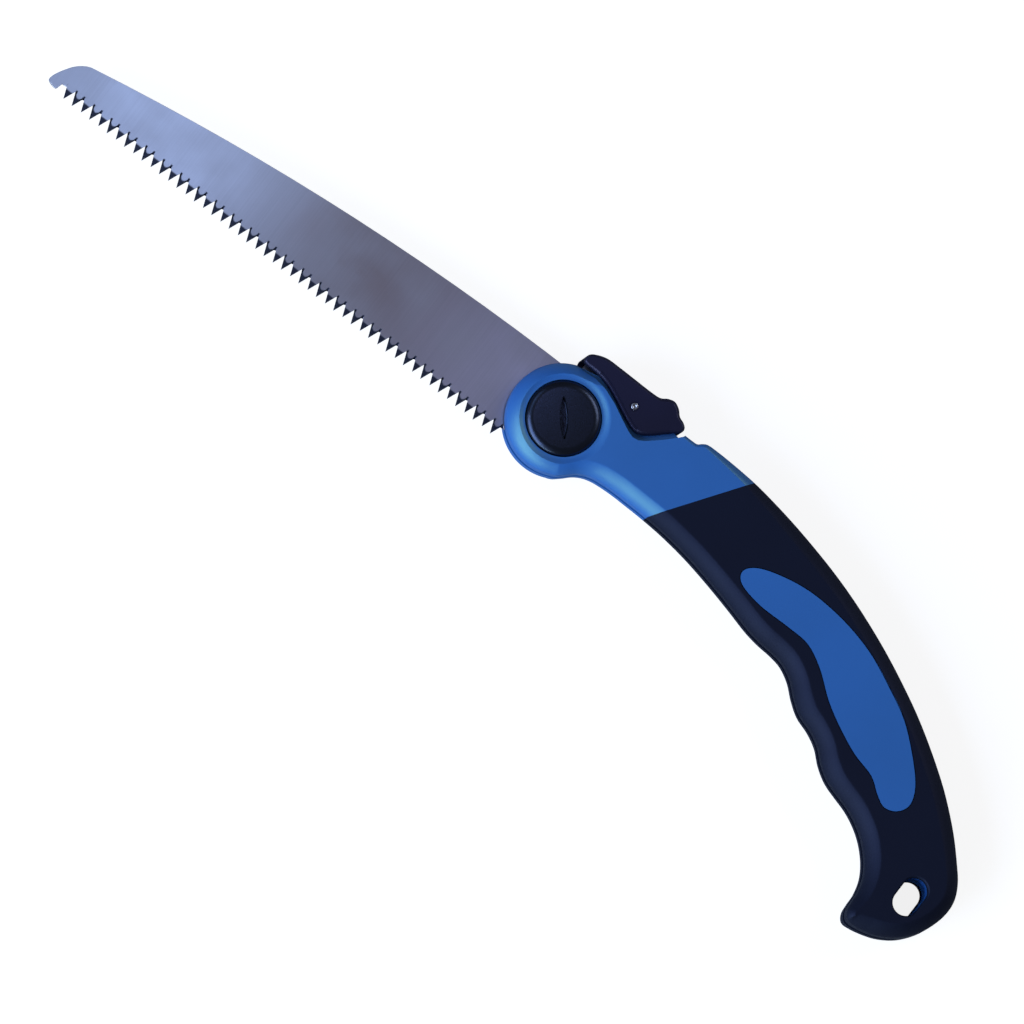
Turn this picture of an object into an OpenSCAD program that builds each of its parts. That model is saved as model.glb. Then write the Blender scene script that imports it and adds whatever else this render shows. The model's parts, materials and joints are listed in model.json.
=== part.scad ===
// Folding pruning saw, drawn open and lying on its side.
// The blade's pivot stands on the origin and the saw rests on z = 0.
// The teeth point to -Y, the blade runs to -X and the grip to +X.

/* [Blade] */
// Number of teeth along the cutting edge
tooth_count = 50; // [44:1:50]
// Distance from one tooth tip to the next
tooth_pitch = 3.6; // [3.3:0.05:3.6]
// Height of a tooth from gullet to tip
tooth_depth = 3.8; // [2.8:0.1:4]
// Width of a tooth where it leaves the blade
tooth_base = 3.0; // [2.4:0.1:3.2]
// How far a ground bevel eats into a flank, measured square to the flank
bevel_w = 0.45; // [0.2:0.05:0.6]
// How far the ground bevels run up past the gullets
bevel_run = 1.2; // [0.4:0.1:1.6]
// Thickness of the blade's steel
blade_t = 1.3; // [1:0.05:1.5]
// Distance of the tooth tips below the pivot
tooth_line = 17.4; // [16.8:0.1:17.6]
// Distance from the pivot to the first tooth tip
heel_reach = 15.5; // [15:0.1:17]
// Height of the blade's back above the pivot, at its highest
back_rise = 15.25; // [14.6:0.05:15.3]
// Radius of the long arc of the blade's back
back_r = 943; // [880:1:1200]
// Length of the plain nose past the last tooth tip
nose_len = 7.6; // [6:0.1:7.8]

/* [Fold and lock] */
// Angle that the blade turns from open to folded
fold_angle = 162; // [160:0.5:162.5]
// Radius of the blade's round tang
tang_r = 15.3; // [15.25:0.05:15.4]
// Angle that the lever drops from its drawn place to put the pawl in a notch
engage_angle = 4.5; // [3:0.1:4.6]
// Angle that the lever lifts past its drawn place when its tail is pressed
press_angle = 6; // [4:0.1:6.5]
// Distance of the lever's pin past the pivot, along the saw
pin_x = 16; // [15.6:0.1:16.2]
// Height of the lever's pin above the pivot
pin_y = 17.5; // [17.3:0.05:17.6]
// Diameter of the lever's pin
pin_d = 2.5; // [2:0.1:2.8]
// Width of the pawl, along the saw
pawl_w = 4.0; // [3:0.1:4.4]
// Thickness of the pawl's plate
pawl_t = 2.5; // [2:0.05:2.6]

/* [Handle] */
// Thickness of the handle
handle_t = 20; // [19.5:0.1:21]
// Width of the blade's slot
slot_w = 3.0; // [2.9:0.05:3.2]
// Radius of the round head
head_r = 18.4; // [18.2:0.1:18.8]
// Form of the rounded edges, from 1 for a chamfer to 2 for a quarter round
edge_form = 1.4; // [1.2:0.1:2]
// Thickness of the rubber over the core, on the flat sides
rubber_t = 3.5; // [2.5:0.1:4.2]
// Share of the edge rounding that the rubber covers all round
rubber_cover = 0.75; // [0.6:0.05:0.8]
// Width of the hanging hole
hole_w = 8.7; // [6:0.1:9.5]
// Length of the hanging hole
hole_l = 13.6; // [12:0.1:14.6]
// Gap between the folded teeth and the floor of the channel
tooth_room = 1.4; // [1:0.1:2]
// Gap between the folded nose and the end wall of the channel
nose_room = 0.9; // [0.6:0.1:1.2]

/* [Pivot] */
// Radius of the coin-slot knob
knob_r = 12.4; // [11.5:0.1:12.8]
// Height of the knob above the rim of the head
knob_rise = 0.6; // [0.2:0.1:1.5]
// Length of the coin slot
coin_l = 14; // [10:0.5:16]
// Width of the coin slot at its middle
coin_w = 2.4; // [1.8:0.1:3]
// Depth of the coin slot
coin_d = 1.0; // [0.6:0.1:1.2]
// Width of the sloping dish round the knob
dish_w = 3.1; // [2:0.1:3.2]
// Depth of the dish
dish_d = 0.9; // [0.5:0.1:1.2]
// Radius of the bolt's shank
bolt_r = 4.0; // [3.5:0.1:4.3]
// Radius of the bolt's flange
flange_r = 8.5; // [8:0.1:9]
// Thickness of the bolt's flange
flange_t = 2.4; // [2:0.1:2.6]
// Outer radius of the sleeve that the blade turns on
sleeve_r = 5.0; // [4.8:0.05:5.2]
// Radius of the flat washers beside the blade
washer_r = 13; // [11:0.1:14]
// Width of the nut across its flats
nut_af = 13; // [12:0.1:13.4]
// Thickness of the nut
nut_t = 5; // [4.5:0.1:5.4]
// Thickness of the cover over the nut
cover_t = 1.8; // [1.5:0.1:2]

/* [Hidden] */
$fn = 96;

core_blue = "#2a5ba6";
rubber_black = "#171a26";
moulded_black = "#181b28";
blade_steel = "#8a93b4";
bright_steel = "#b9bcc4";

run_gap = 0.05;         // running clearance round the pivot and beside the blade
seat_gap = 0.3;         // clearance of parts that turn or slide past the handle
mid = handle_t / 2;     // height of the blade's plane
far = 400;              // longer than the saw, for cuts that run out of it

// Blade
blade_low = mid - blade_t / 2;
first_tip = heel_reach + (tooth_count - 1) * tooth_pitch;
root_line = tooth_line - tooth_depth;
strip_top = root_line - bevel_run - 2;
heel_run = 2.9;         // how far the toothed strip runs on before the first tooth tip
nose_run = 3.2;         // and past the last
heel_back = heel_reach - heel_run;
strip_end = first_tip + nose_run;
back_top = [-4, back_rise - back_r];
nose_lift = 2.5;        // height of the nose's end above the tooth tips
reach = norm([first_tip + nose_len, tooth_line - nose_lift]);
drawn_reach = 200.05;   // reach of the blade that the grip's knots are drawn for
washer_t = (slot_w - blade_t) / 2 - run_gap;

// Fold: the folded blade's nose lies along this direction
nose_dir = fold_angle - 180 + atan2(tooth_line - nose_lift, first_tip + nose_len);
grip_shift = (reach - drawn_reach) * [cos(nose_dir), sin(nose_dir)];

// Pivot stack, from the rest face up
nut_low = cover_t + 0.2;
nut_top = nut_low + nut_t;
seat_z = mid + slot_w / 2 + 2.5;
sleeve_top = seat_z + 1;
flange_top = sleeve_top + flange_t;
knob_top = handle_t + knob_rise;
hex_top = knob_top - coin_d - 0.5;
knob_floor = flange_top - seat_gap;
nut_gap = 0.2;
hex_af = 12;            // bolt's head across its flats
clip_r = 10;            // clip ring inside the nut's cover
clip_w = 1.4;
clip_h = 1.2;

// Lever
wing_t = 3.0;
lever_low = 0.2;
lug_half = mid - lever_low - wing_t - seat_gap;
pocket_z = mid + lug_half;
pawl_x = -4.6;
pawl_gap = 0.12;
spring_x = 27;
spring_floor = 13.4;
spring_r = 1.9;
spring_wire = 0.6;
spring_turns = 5.5;
ceiling_y = 22;
nose_floor_y = 20.3;    // floor of the room in the lever, over its nose
pawl_foot = 3;          // how far the pawl's outline starts inside the tang's edge
pawl_root = 2.6;        // how far the pawl is let into the lever
pawl_side_gap = 0.2;    // clearance of the notches beside the pawl

// Handle
core_root = 6;          // how far the core runs on into the head
head_rim_r = 4.6;       // rounding of the head's rim
hole_at = [184.4, -53.75, 0];
tang_room = 0.6;        // clearance of the slot round the tang
back_room = 0.15;       // clearance above the blade's back, where the web stops it
pawl_slot = [-6.7, 3];  // ends of the slot that the pawl drops through

lever_pin = [pin_x, pin_y];

// ---- curves ---------------------------------------------------------------------------------

// One knot of a closed list
function knot(k, i) = k[(i + len(k)) % len(k)];

// Catmull-Rom blend of four knots
function blend(a, b, c, d, t) =
    0.5 * (2 * b + (c - a) * t + (2 * a - 5 * b + 4 * c - d) * t * t + (3 * b - a - 3 * c + d) * t * t * t);

// A smooth closed curve through knots of [x, y, edge rounding]
function closed_curve(k, steps) = [
    for (i = [0:len(k) - 1], j = [0:steps - 1])
        blend(knot(k, i - 1), knot(k, i), knot(k, i + 1), knot(k, i + 2), j / steps)];

// The first two values of each point
function flat(pts) = [for (p = pts) [p.x, p.y]];

// Unit vector into the shape, at point i of a counter-clockwise outline
function inward(pts, i) =
    let (a = knot(pts, i - 1), b = knot(pts, i + 1), d = [b.x - a.x, b.y - a.y]) [-d.y, d.x] / norm(d);

// How far an edge is drawn in and has risen, at angle a from the flat (0) to the side (90)
function drawn_in(a) = 1 - pow(sin(a), 2 / edge_form);
function risen(a) = 1 - pow(cos(a), 2 / edge_form);

// The outline drawn in by a share of each point's edge rounding; a point may name its own way in
function inset(pts, share) = [
    for (i = [0:len(pts) - 1]) let (way = is_undef(pts[i][3]) ? inward(pts, i) : pts[i][3])
        [pts[i].x, pts[i].y] + share * pts[i].z * way];

// A smooth open curve through knots; its end knots only steer it
function open_curve(k, steps) = concat(
    [for (i = [1:len(k) - 3], j = [0:steps - 1]) blend(k[i - 1], k[i], k[i + 1], k[i + 2], j / steps)],
    [k[len(k) - 2]]);

// Triangles that fill an outline in strips across it, from its start and end to the point at its far end
function strips(count, far_end) =
    let (here = far_end, there = count - 1 - far_end, all = concat(
        [for (i = [0:here - 1]) [i, i + 1, count - 1 - ceil((i + 0.5) * there / here - 0.5)]],
        [for (j = [0:there - 1]) [count - 1 - j, floor((j + 0.5) * here / there + 0.5), count - 2 - j]]))
    [for (f = all) if (f[1] != f[2]) f];

// A plate between two heights whose edges are rounded over, by each point's own rounding
module rounded_plate(pts, low, high, far_end, steps = 3) {
    count = len(pts);
    caps = is_undef(far_end) ? [[for (i = [0:count - 1]) i]] : strips(count, far_end);
    turns = [for (s = [0:steps]) 90 * s / steps];
    lower = [for (a = turns) let (ring = inset(pts, drawn_in(a)))
        [for (i = [0:count - 1]) [ring[i].x, ring[i].y, low + pts[i].z * risen(a)]]];
    upper = [for (s = [steps:-1:0]) let (a = turns[s], ring = inset(pts, drawn_in(a)))
        [for (i = [0:count - 1]) [ring[i].x, ring[i].y, high - pts[i].z * risen(a)]]];
    rings = concat(lower, upper);
    last = (len(rings) - 1) * count;
    polyhedron(
        points = [for (ring = rings) each ring],
        faces = concat(
            caps,
            [for (f = caps) [for (i = [len(f) - 1:-1:0]) last + f[i]]],
            [for (k = [0:len(rings) - 2], i = [0:count - 1]) let (a = k * count, b = (i + 1) % count)
                each [[a + i, a + count + i, a + count + b], [a + i, a + count + b, a + b]]]));
}

// An outline extruded between two heights
module slab(pts, low, high) {
    translate([0, 0, low]) linear_extrude(high - low) polygon(pts);
}

// Turns its children about the lever's pin
module about_pin(angle) {
    translate(lever_pin) rotate(angle) translate(-lever_pin) children();
}

// ---- outlines -------------------------------------------------------------------------------

// Moves the grip with the folded nose: nothing at the neck, all of it at the butt
function stretched(p) =
    let (share = min(1, max(0, (p.x - 60) / 90)), s = grip_shift * share) [p.x + s.x, p.y + s.y, p.z];

// Both ends of the seam between the blue head and the rubber
seam_low = [41.4, -8.1, 4.5];
seam_high = [62.4, 22.4, 4.2];
// Concave edge from the round head to the seam
neck_knots = [
    [8.6, -16.4, 3.4], [11.6, -14.2, 3.4], [15.2, -10.8, 3.8], [19.8, -8.8, 4.2], [27, -8.05, 4.5],
    [34, -8.0, 4.5]];
// Concave edge from the seam through the finger grooves to the hook
finger_knots = [
    [50, -8.6, 4.5], [60, -9.8, 4.5], [71, -11.9, 4.5], [81, -14.2, 4.5], [90, -16.5, 4.6], [96, -17.4, 4.6],
    [101, -17.7, 4.6], [106, -18.6, 4.6], [111, -21.2, 4.6], [115.7, -25.2, 4.8], [120.5, -28.3, 4.8],
    [126, -30.1, 4.6], [131, -32.7, 4.6], [135.6, -36.7, 4.8], [140.6, -39.7, 4.8], [146, -41.4, 4.6],
    [151, -42.8, 4.6], [156, -45.0, 4.6], [161, -48.3, 4.6], [165.5, -52.7, 4.4], [168.6, -57.4, 4.0],
    [170.1, -62.4, 3.6], [170.4, -66.6, 3.0], [170.9, -69.7, 2.4], [172.6, -71.9, 2.2], [175.2, -72.3, 2.6]];
// Round the butt
butt_knots = [
    [180.1, -71.3, 3.4], [185.2, -69.3, 3.8], [190.3, -65.6, 4.0], [194.4, -60.2, 4.0], [196.6, -54.6, 4.0],
    [197.4, -49.4, 4.0], [196.7, -44.6, 4.0], [194.2, -39.8, 4.0], [190.4, -35.3, 4.0]];
// Convex back edge of the grip, from the butt to the seam
spine_knots = [
    [184.2, -28.7, 4.3], [177.4, -22.6, 4.4], [170.3, -17.0, 4.5], [160.3, -10.3, 4.5], [150.4, -4.4, 4.5],
    [140.4, 0.7, 4.5], [130.4, 5.3, 4.5], [120.4, 9.3, 4.5], [110.4, 12.8, 4.5], [100.5, 15.7, 4.5],
    [90.5, 18.1, 4.5], [80.5, 20.1, 4.5], [71, 21.5, 4.5]];
// Back edge of the head, from the seam over the step to the floor of the lever's recess
step_knots = [
    [53, 22.8, 3.6], [46, 22.8, 2.4], [42.6, 22.5, 1.4], [40.9, 21.5, 1.0], [39.7, 20.5, 1.0],
    [37.6, 20.3, 1.0], [30, 20.3, 1.0], [18, 20.3, 1.0], [8, 19.4, 1.4]];

seam_way = [seam_high.x - seam_low.x, seam_high.y - seam_low.y] / (seam_high.y - seam_low.y);
grip_rim = open_curve([for (p = concat([[34, -8.0, 4.5], seam_low], finger_knots, butt_knots, spine_knots,
    [seam_high, [53, 22.8, 3.6]])) stretched(p)], 2);
grip_end = len(grip_rim) - 1;
grip_curve = [for (i = [0:grip_end]) i == 0 ? concat(grip_rim[i], [seam_way])
    : i == grip_end ? concat(grip_rim[i], [-seam_way]) : grip_rim[i]];
head_rim = open_curve(concat([[71, 21.5, 4.5], seam_high], step_knots, [[0, 16, 2], [-6, 11, 2]]), 2);
neck_rim = open_curve(concat([[2, -16, 3.4]], neck_knots, [seam_low, [50, -8.6, 4.5]]), 2);
neck_end = len(neck_rim) - 1;
head_curve = concat(
    [concat(seam_high, [-seam_way])], [for (i = [1:len(head_rim) - 2]) head_rim[i]],
    [[0, 16, 2, [0, -1]], [0, 6, 0], [4, -6, 0], concat(neck_rim[0], [[-0.46, 0.89]])],
    [for (i = [1:neck_end - 1]) neck_rim[i]], [concat(seam_low, [seam_way])]);

// Blue window in the rubber, the same on both sides
window_knots = [
    [76.4, -3.4, 0], [79.6, 0.4, 0], [87, 3.2, 0], [97, 5.0, 0], [107, 4.95, 0], [117, 3.6, 0], [127, 0.9, 0],
    [138, -4.0, 0], [148, -9.3, 0], [157.5, -17.2, 0], [164, -24.3, 0], [166.2, -30.2, 0], [164.2, -34.4, 0],
    [160, -36.1, 0], [155.8, -34.3, 0], [150.2, -30.5, 0], [141.5, -28.2, 0], [132, -24.0, 0],
    [124, -19.4, 0], [116, -13.3, 0], [108, -9.3, 0], [99.5, -8.8, 0], [88, -8.9, 0], [79, -7.1, 0]];
window_curve = flat(closed_curve([for (p = window_knots) stretched(p)], 2));

// Side pockets of the head in which the lever's wings move
pocket_points = [
    [-6.6, 16.9], [-3.8, 16.6], [0.2, 16.9], [5.2, 15.9], [10.2, 14.1], [15.2, 11.6], [19, 9.8], [21.5, 9.0],
    [23.6, 9.3], [25.6, 10.6], [28.2, 12.9], [31, 15.6], [33.5, 18.2], [34.7, 19.6], [34.9, 20.3],
    [34.9, 40], [-6.6, 40]];

// Top of the lug that stands between the lever's wings
lug_points = [
    [-6.6, 16.8], [0, head_r], [3.2, 18.6], [9, 20.6], [20, 20.6], [27, 19.4], [33.9, 18.6], [36, 20.3]];

// Lever seen from the side, with its edge roundings
lever_knots = [
    [-5.4, 18.9, 0.7], [-2, 18.7, 0.9], [2, 18.3, 1.2], [6, 17.1, 1.2], [10, 15.4, 1.2], [14, 13.5, 1.2],
    [17.5, 12.0, 1.2], [20.2, 11.2, 1.1], [22.4, 11.3, 1.1], [24.8, 12.5, 1.2], [27.6, 14.9, 1.2],
    [30, 17.3, 1.1], [31.8, 19.4, 1.0], [33.2, 20.7, 0.8], [33.3, 22.0, 0.8], [31.9, 23.2, 0.9],
    [29.8, 24.1, 1.1], [28.0, 25.9, 1.2], [25.6, 27.0, 1.2], [23.2, 26.4, 1.2], [20.9, 25.0, 1.2],
    [17, 24.7, 1.2], [11, 24.7, 1.2], [5, 24.7, 1.2], [-0.5, 24.5, 1.1], [-4.5, 23.0, 0.9],
    [-6.1, 21.5, 0.7], [-6.2, 20.0, 0.6]];

// Room in the lever, over the lug, the spring and the nose
cavity_points = [
    [-20, 0], [60, 0], [60, 20.9], [33, 20.9], [30, ceiling_y], [4.5, ceiling_y], [4.5, nose_floor_y],
    [-20, nose_floor_y]];

// Plain nose of the blade, as knots of [past the last tooth tip, height]
nose_knots = [
    [-9, -1.7, 0], [-3.4, -2.75, 0], [-1.2, -3.4, 0], [0.6, -4.2, 0], [2.4, -5.5, 0], [4.0, -7.2, 0],
    [5.4, -9.3, 0], [6.7, -11.6, 0], [nose_len - 0.1, -13.6, 0], [nose_len, -14.9, 0],
    [nose_len - 0.7, -15.6, 0], [nose_len - 2.1, -16.0, 0], [4.3, -16.15, 0], [3.75, -15.7, 0],
    [3.5, -14.7, 0], [nose_run, -root_line, 0], [3, -12, 0]];
nose_curve = open_curve(nose_knots, 2);

// ---- shared cutting shapes ------------------------------------------------------------------

// Everything that the blade sweeps through as it folds, one slot wide
module blade_slot() {
    translate([0, 0, mid - slot_w / 2]) linear_extrude(slot_w) {
        circle(r = tang_r + tang_room);
        translate([-far, -far]) square([far, far + back_rise + back_room]);
        translate([-far, -far]) square([far + heel_back, far]);
        translate([pawl_slot[0], 0]) square([pawl_slot[1] - pawl_slot[0], far]);
        intersection() {
            circle(r = reach + nose_room, $fn = 240);
            rotate(fold_angle) translate([-far, -tooth_line - tooth_room])
                square([far - heel_back + 1, far]);
        }
    }
}

// Pawl seen from the side, grown on each side by a gap
module pawl_outline(grow) {
    difference() {
        translate([pawl_x - grow, tang_r - pawl_foot])
            square([pawl_w + 2 * grow, nose_floor_y + pawl_root - tang_r + pawl_foot]);
        circle(r = tang_r + pawl_gap - grow);
    }
}

module hanging_hole(low, high) {
    at = stretched(hole_at);
    translate([at.x, at.y, low]) {
        for (side = [-1, 1])
            translate([0, side * (hole_l - hole_w) / 2, 0]) cylinder(d = hole_w, h = high - low);
        translate([-hole_w / 2, -(hole_l - hole_w) / 2, 0]) cube([hole_w, hole_l - hole_w, high - low]);
    }
}

// The end of a line from one point through another, run on into the head
function run_on(from, to) = to + core_root * (to - from) / norm(to - from);

// The core inside the rubber, its root in the head and its windows, which reach out past the sides
module inner_core(past) {
    rim = inset(grip_curve, rubber_cover);
    root = [run_on(rim[1], rim[0]), run_on(rim[grip_end - 1], rim[grip_end])];
    slab(concat([root[0]], [for (i = [1:grip_end - 1]) rim[i]], [root[1]]), rubber_t, handle_t - rubber_t);
    slab(window_curve, -past, handle_t + past);
}

// The round head with its rim rounded over
module round_head() {
    rim = [for (a = [0:22.5:90]) [head_r - head_rim_r * drawn_in(a), head_rim_r * risen(a)]];
    rotate_extrude() polygon(concat(
        [[0, 0]],
        rim,
        [for (i = [len(rim) - 1:-1:0]) [rim[i].x, handle_t - rim[i].y]],
        [[0, handle_t]]));
}

// Bore of the sleeve, seat of the bolt's flange, recess of the knob and the dish round it
module pivot_room() {
    bore = sleeve_r + run_gap;
    seat = flange_r + seat_gap;
    wall = knob_r + seat_gap;
    rotate_extrude() polygon([
        [0, nut_top - 1], [bore, nut_top - 1], [bore, seat_z], [seat, seat_z], [seat, knob_floor],
        [wall, knob_floor], [wall, handle_t - dish_d], [wall + dish_w * (1 + 1 / dish_d), handle_t + 1],
        [0, handle_t + 1]]);
}

// Recess of the nut's cover, with the groove of its clip ring and the dish round it
module cover_room() {
    wall = knob_r + seat_gap;
    rotate_extrude() polygon([
        [0, -1], [wall + dish_w * (1 + 1 / dish_d), -1], [wall, dish_d], [wall, cover_t],
        [clip_r + 0.1, cover_t], [clip_r + 0.1, cover_t + clip_h + 0.2],
        [clip_r - clip_w - 0.1, cover_t + clip_h + 0.2], [clip_r - clip_w - 0.1, cover_t], [0, cover_t]]);
}

// ---- pieces ---------------------------------------------------------------------------------

module handle_core() {
    color(core_blue) difference() {
        union() {
            round_head();
            rounded_plate(head_curve, 0, handle_t, len(head_rim) + 1);
            inner_core(0);
        }
        blade_slot();
        // room above the lug, then the two side pockets
        slab(concat(lug_points, [[lug_points[len(lug_points) - 1].x, far], [lug_points[0].x, far]]),
            mid - lug_half, mid + lug_half);
        slab(pocket_points, pocket_z, handle_t + 1);
        slab(pocket_points, -1, handle_t - pocket_z);
        pivot_room();
        cover_room();
        translate([0, 0, cover_t])
            cylinder(d = (nut_af + 2 * nut_gap) / cos(30), h = nut_top - cover_t, $fn = 6);
        // lever's pin and the pocket of its spring
        translate([pin_x, pin_y, -1]) cylinder(d = pin_d, h = handle_t + 2);
        translate([spring_x, spring_floor, mid]) rotate([-90, 0, 0]) cylinder(r = spring_r + 0.7, h = far);
        hanging_hole(-1, handle_t + 1);
    }
}

module grip_overmould() {
    color(rubber_black) difference() {
        rounded_plate(grip_curve, 0, handle_t, 2 * len(finger_knots) + 4);
        inner_core(1);
        blade_slot();
        hanging_hole(-1, handle_t + 1);
    }
}

// Tooth i on one face of the blade: root, tip and root from the heel on, then the next point of
// the strip's upper edge
function tooth_face(i, ground) =
    let (x = -heel_reach - i * tooth_pitch,
        slope = tooth_base / 2 / tooth_depth,
        back = ground ? bevel_w / sin(atan(slope)) : 0,
        rise = ground ? bevel_run : 0,
        half = slope * (tooth_depth + rise - back),
        next = i < tooth_count - 1 ? x - tooth_pitch / 2 : -strip_end)
    [[x + half, rise - root_line], [x, back - tooth_line], [x - half, rise - root_line], [next, -strip_top]];

// The toothed strip's points on one face; every other tooth is ground on that face
function strip_face(ground_first, z) = [
    for (p = concat(
        [[-heel_back, -strip_top], [-heel_back, -root_line]],
        [for (i = [0:tooth_count - 1]) each tooth_face(i, (i % 2 == 0) == ground_first)],
        [[-strip_end, -root_line]])) [p.x, p.y, z]];

module toothed_strip() {
    front = strip_face(true, blade_low + blade_t);
    back = strip_face(false, blade_low);
    n = len(front);
    last = tooth_count - 1;
    // point k of tooth i, and the upper point before it
    function at(i, k) = 2 + 4 * i + k;
    function over(i) = i == 0 ? 0 : at(i - 1, 3);
    edge = concat(
        [0, 1],
        [for (i = [0:last], k = [0:2]) at(i, k)],
        [n - 1],
        [for (i = [last:-1:0]) at(i, 3)]);
    flat = concat(
        [[0, 1, at(0, 0)]],
        [for (i = [0:last]) each [
            [at(i, 0), at(i, 1), at(i, 2)],
            [over(i), at(i, 0), at(i, 2)],
            [over(i), at(i, 2), at(i, 3)],
            [at(i, 3), at(i, 2), i < last ? at(i + 1, 0) : n - 1]]]);
    polyhedron(
        points = concat(front, back),
        faces = concat(
            flat,
            [for (f = flat) [n + f[2], n + f[1], n + f[0]]],
            [for (k = [0:len(edge) - 1]) let (i = edge[k], j = edge[(k + 1) % len(edge)])
                each [[i, n + i, n + j], [i, n + j, j]]]));
}

module saw_blade() {
    color(blade_steel) difference() {
        union() {
            translate([0, 0, blade_low]) linear_extrude(blade_t) {
                circle(r = tang_r);
                intersection() {
                    translate(back_top) circle(r = back_r, $fn = 400);
                    polygon(concat(
                        [[0, -5], [0, 20], [-first_tip + 3.4, 20]],
                        [for (p = nose_curve) [-first_tip - p.x, p.y]],
                        [[-strip_end, -strip_top], [-heel_back, -strip_top], [-heel_back, -5]]));
                }
            }
            toothed_strip();
        }
        translate([0, 0, -1]) cylinder(r = sleeve_r + run_gap, h = handle_t);
        for (turn = [0, -fold_angle])
            translate([0, 0, -1]) linear_extrude(handle_t) rotate(turn)
                about_pin(engage_angle) pawl_outline(pawl_side_gap);
    }
}

module ring(outer, inner, low, high) {
    translate([0, 0, low]) difference() {
        cylinder(r = outer, h = high - low);
        translate([0, 0, -1]) cylinder(r = inner, h = high - low + 2);
    }
}

module blade_washer_front() {
    color(bright_steel) ring(washer_r, sleeve_r + run_gap, mid + slot_w / 2 - washer_t, mid + slot_w / 2);
}

module blade_washer_back() {
    color(bright_steel) ring(washer_r, sleeve_r + run_gap, mid - slot_w / 2, mid - slot_w / 2 + washer_t);
}

module pivot_sleeve() {
    color(bright_steel) ring(sleeve_r, bolt_r + run_gap, nut_top, sleeve_top);
}

module pivot_bolt() {
    color(bright_steel) {
        translate([0, 0, nut_low + 0.2]) cylinder(r = bolt_r, h = sleeve_top - nut_low);
        translate([0, 0, sleeve_top]) cylinder(r = flange_r, h = flange_t);
        translate([0, 0, flange_top - 0.5])
            cylinder(d = hex_af / cos(30), h = hex_top - flange_top + 0.5, $fn = 6);
    }
}

module pivot_knob() {
    coin_arc = (coin_l * coin_l / 4 + coin_w * coin_w / 4) / coin_w;
    color(moulded_black) difference() {
        rotate_extrude() polygon([
            [0, flange_top], [knob_r - 0.4, flange_top], [knob_r, flange_top + 0.4], [knob_r, knob_top - 1.5],
            [knob_r - 0.3, knob_top - 0.95], [knob_r - 0.9, knob_top - 0.5], [knob_r - 1.8, knob_top - 0.15],
            [knob_r - 2.8, knob_top], [0, knob_top]]);
        translate([0, 0, flange_top - 1])
            cylinder(d = hex_af / cos(30), h = hex_top - flange_top + 1, $fn = 6);
        translate([0, 0, knob_top - coin_d]) linear_extrude(5) rotate(-52) intersection_for(side = [-1, 1])
            translate([0, side * (coin_arc - coin_w / 2)]) circle(r = coin_arc, $fn = 200);
    }
}

module spring_washer() {
    color(bright_steel) rotate_extrude() polygon([
        [sleeve_r + 0.3, sleeve_top - 0.5], [flange_r - 0.1, seat_z], [flange_r - 0.1, seat_z + 0.5],
        [sleeve_r + 0.3, sleeve_top]]);
}

module pivot_nut() {
    color(bright_steel) difference() {
        translate([0, 0, nut_low]) cylinder(d = nut_af / cos(30), h = nut_t, $fn = 6);
        translate([0, 0, nut_low - 1]) cylinder(r = bolt_r + run_gap, h = nut_t + 2);
    }
}

module nut_cover() {
    color(moulded_black) {
        rotate_extrude() polygon([
            [0, 0], [knob_r - 2, 0], [knob_r - 0.6, 0.3], [knob_r, 0.9], [knob_r, cover_t], [0, cover_t]]);
        ring(clip_r, clip_r - clip_w, cover_t - 0.5, cover_t + clip_h);
    }
}

module lock_lever() {
    color(moulded_black) difference() {
        rounded_plate(closed_curve(lever_knots, 2), lever_low, handle_t - lever_low);
        slab(cavity_points, mid - lug_half - seat_gap, mid + lug_half + seat_gap);
        translate([pin_x, pin_y, -1]) cylinder(d = pin_d + 2 * run_gap, h = handle_t + 2);
        pawl_plate();
    }
}

module pawl_plate() {
    translate([0, 0, mid - pawl_t / 2]) linear_extrude(pawl_t) pawl_outline(0);
}

module lock_pawl() {
    color(bright_steel) pawl_plate();
}

module lock_pin() {
    color(bright_steel) translate([pin_x, pin_y, lever_low + 0.2])
        cylinder(d = pin_d, h = handle_t - 2 * lever_low - 0.4);
}

module lock_spring() {
    steps = 10;
    sides = 6;
    rings = round(spring_turns * steps);
    wire_r = spring_wire / 2;
    low = spring_floor + wire_r + 0.05;
    high = ceiling_y - wire_r - 0.05;
    points = [for (k = [0:rings], s = [0:sides - 1]) let (
        turn = 360 * k / steps,
        out = spring_r + wire_r * cos(360 * s / sides),
        up = low + (high - low) * k / rings + wire_r * sin(360 * s / sides))
        [spring_x + out * cos(turn), up, mid - out * sin(turn)]];
    color(bright_steel) polyhedron(
        points = points,
        faces = concat(
            [[for (s = [sides - 1:-1:0]) s]],
            [[for (s = [0:sides - 1]) rings * sides + s]],
            [for (k = [0:rings - 1], s = [0:sides - 1]) let (a = k * sides, b = (s + 1) % sides)
                each [[a + s, a + b, a + sides + b], [a + s, a + sides + b, a + sides + s]]]));
}

handle_core();
grip_overmould();
saw_blade();
blade_washer_front();
blade_washer_back();
pivot_sleeve();
pivot_bolt();
pivot_knob();
spring_washer();
pivot_nut();
nut_cover();
lock_lever();
lock_pawl();
lock_pin();
lock_spring();
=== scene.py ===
import json
import logging
import math
from dataclasses import dataclass, field
from enum import Enum
from typing import Callable, Sequence

import bmesh
import bpy
from mathutils import Matrix, Vector

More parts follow.
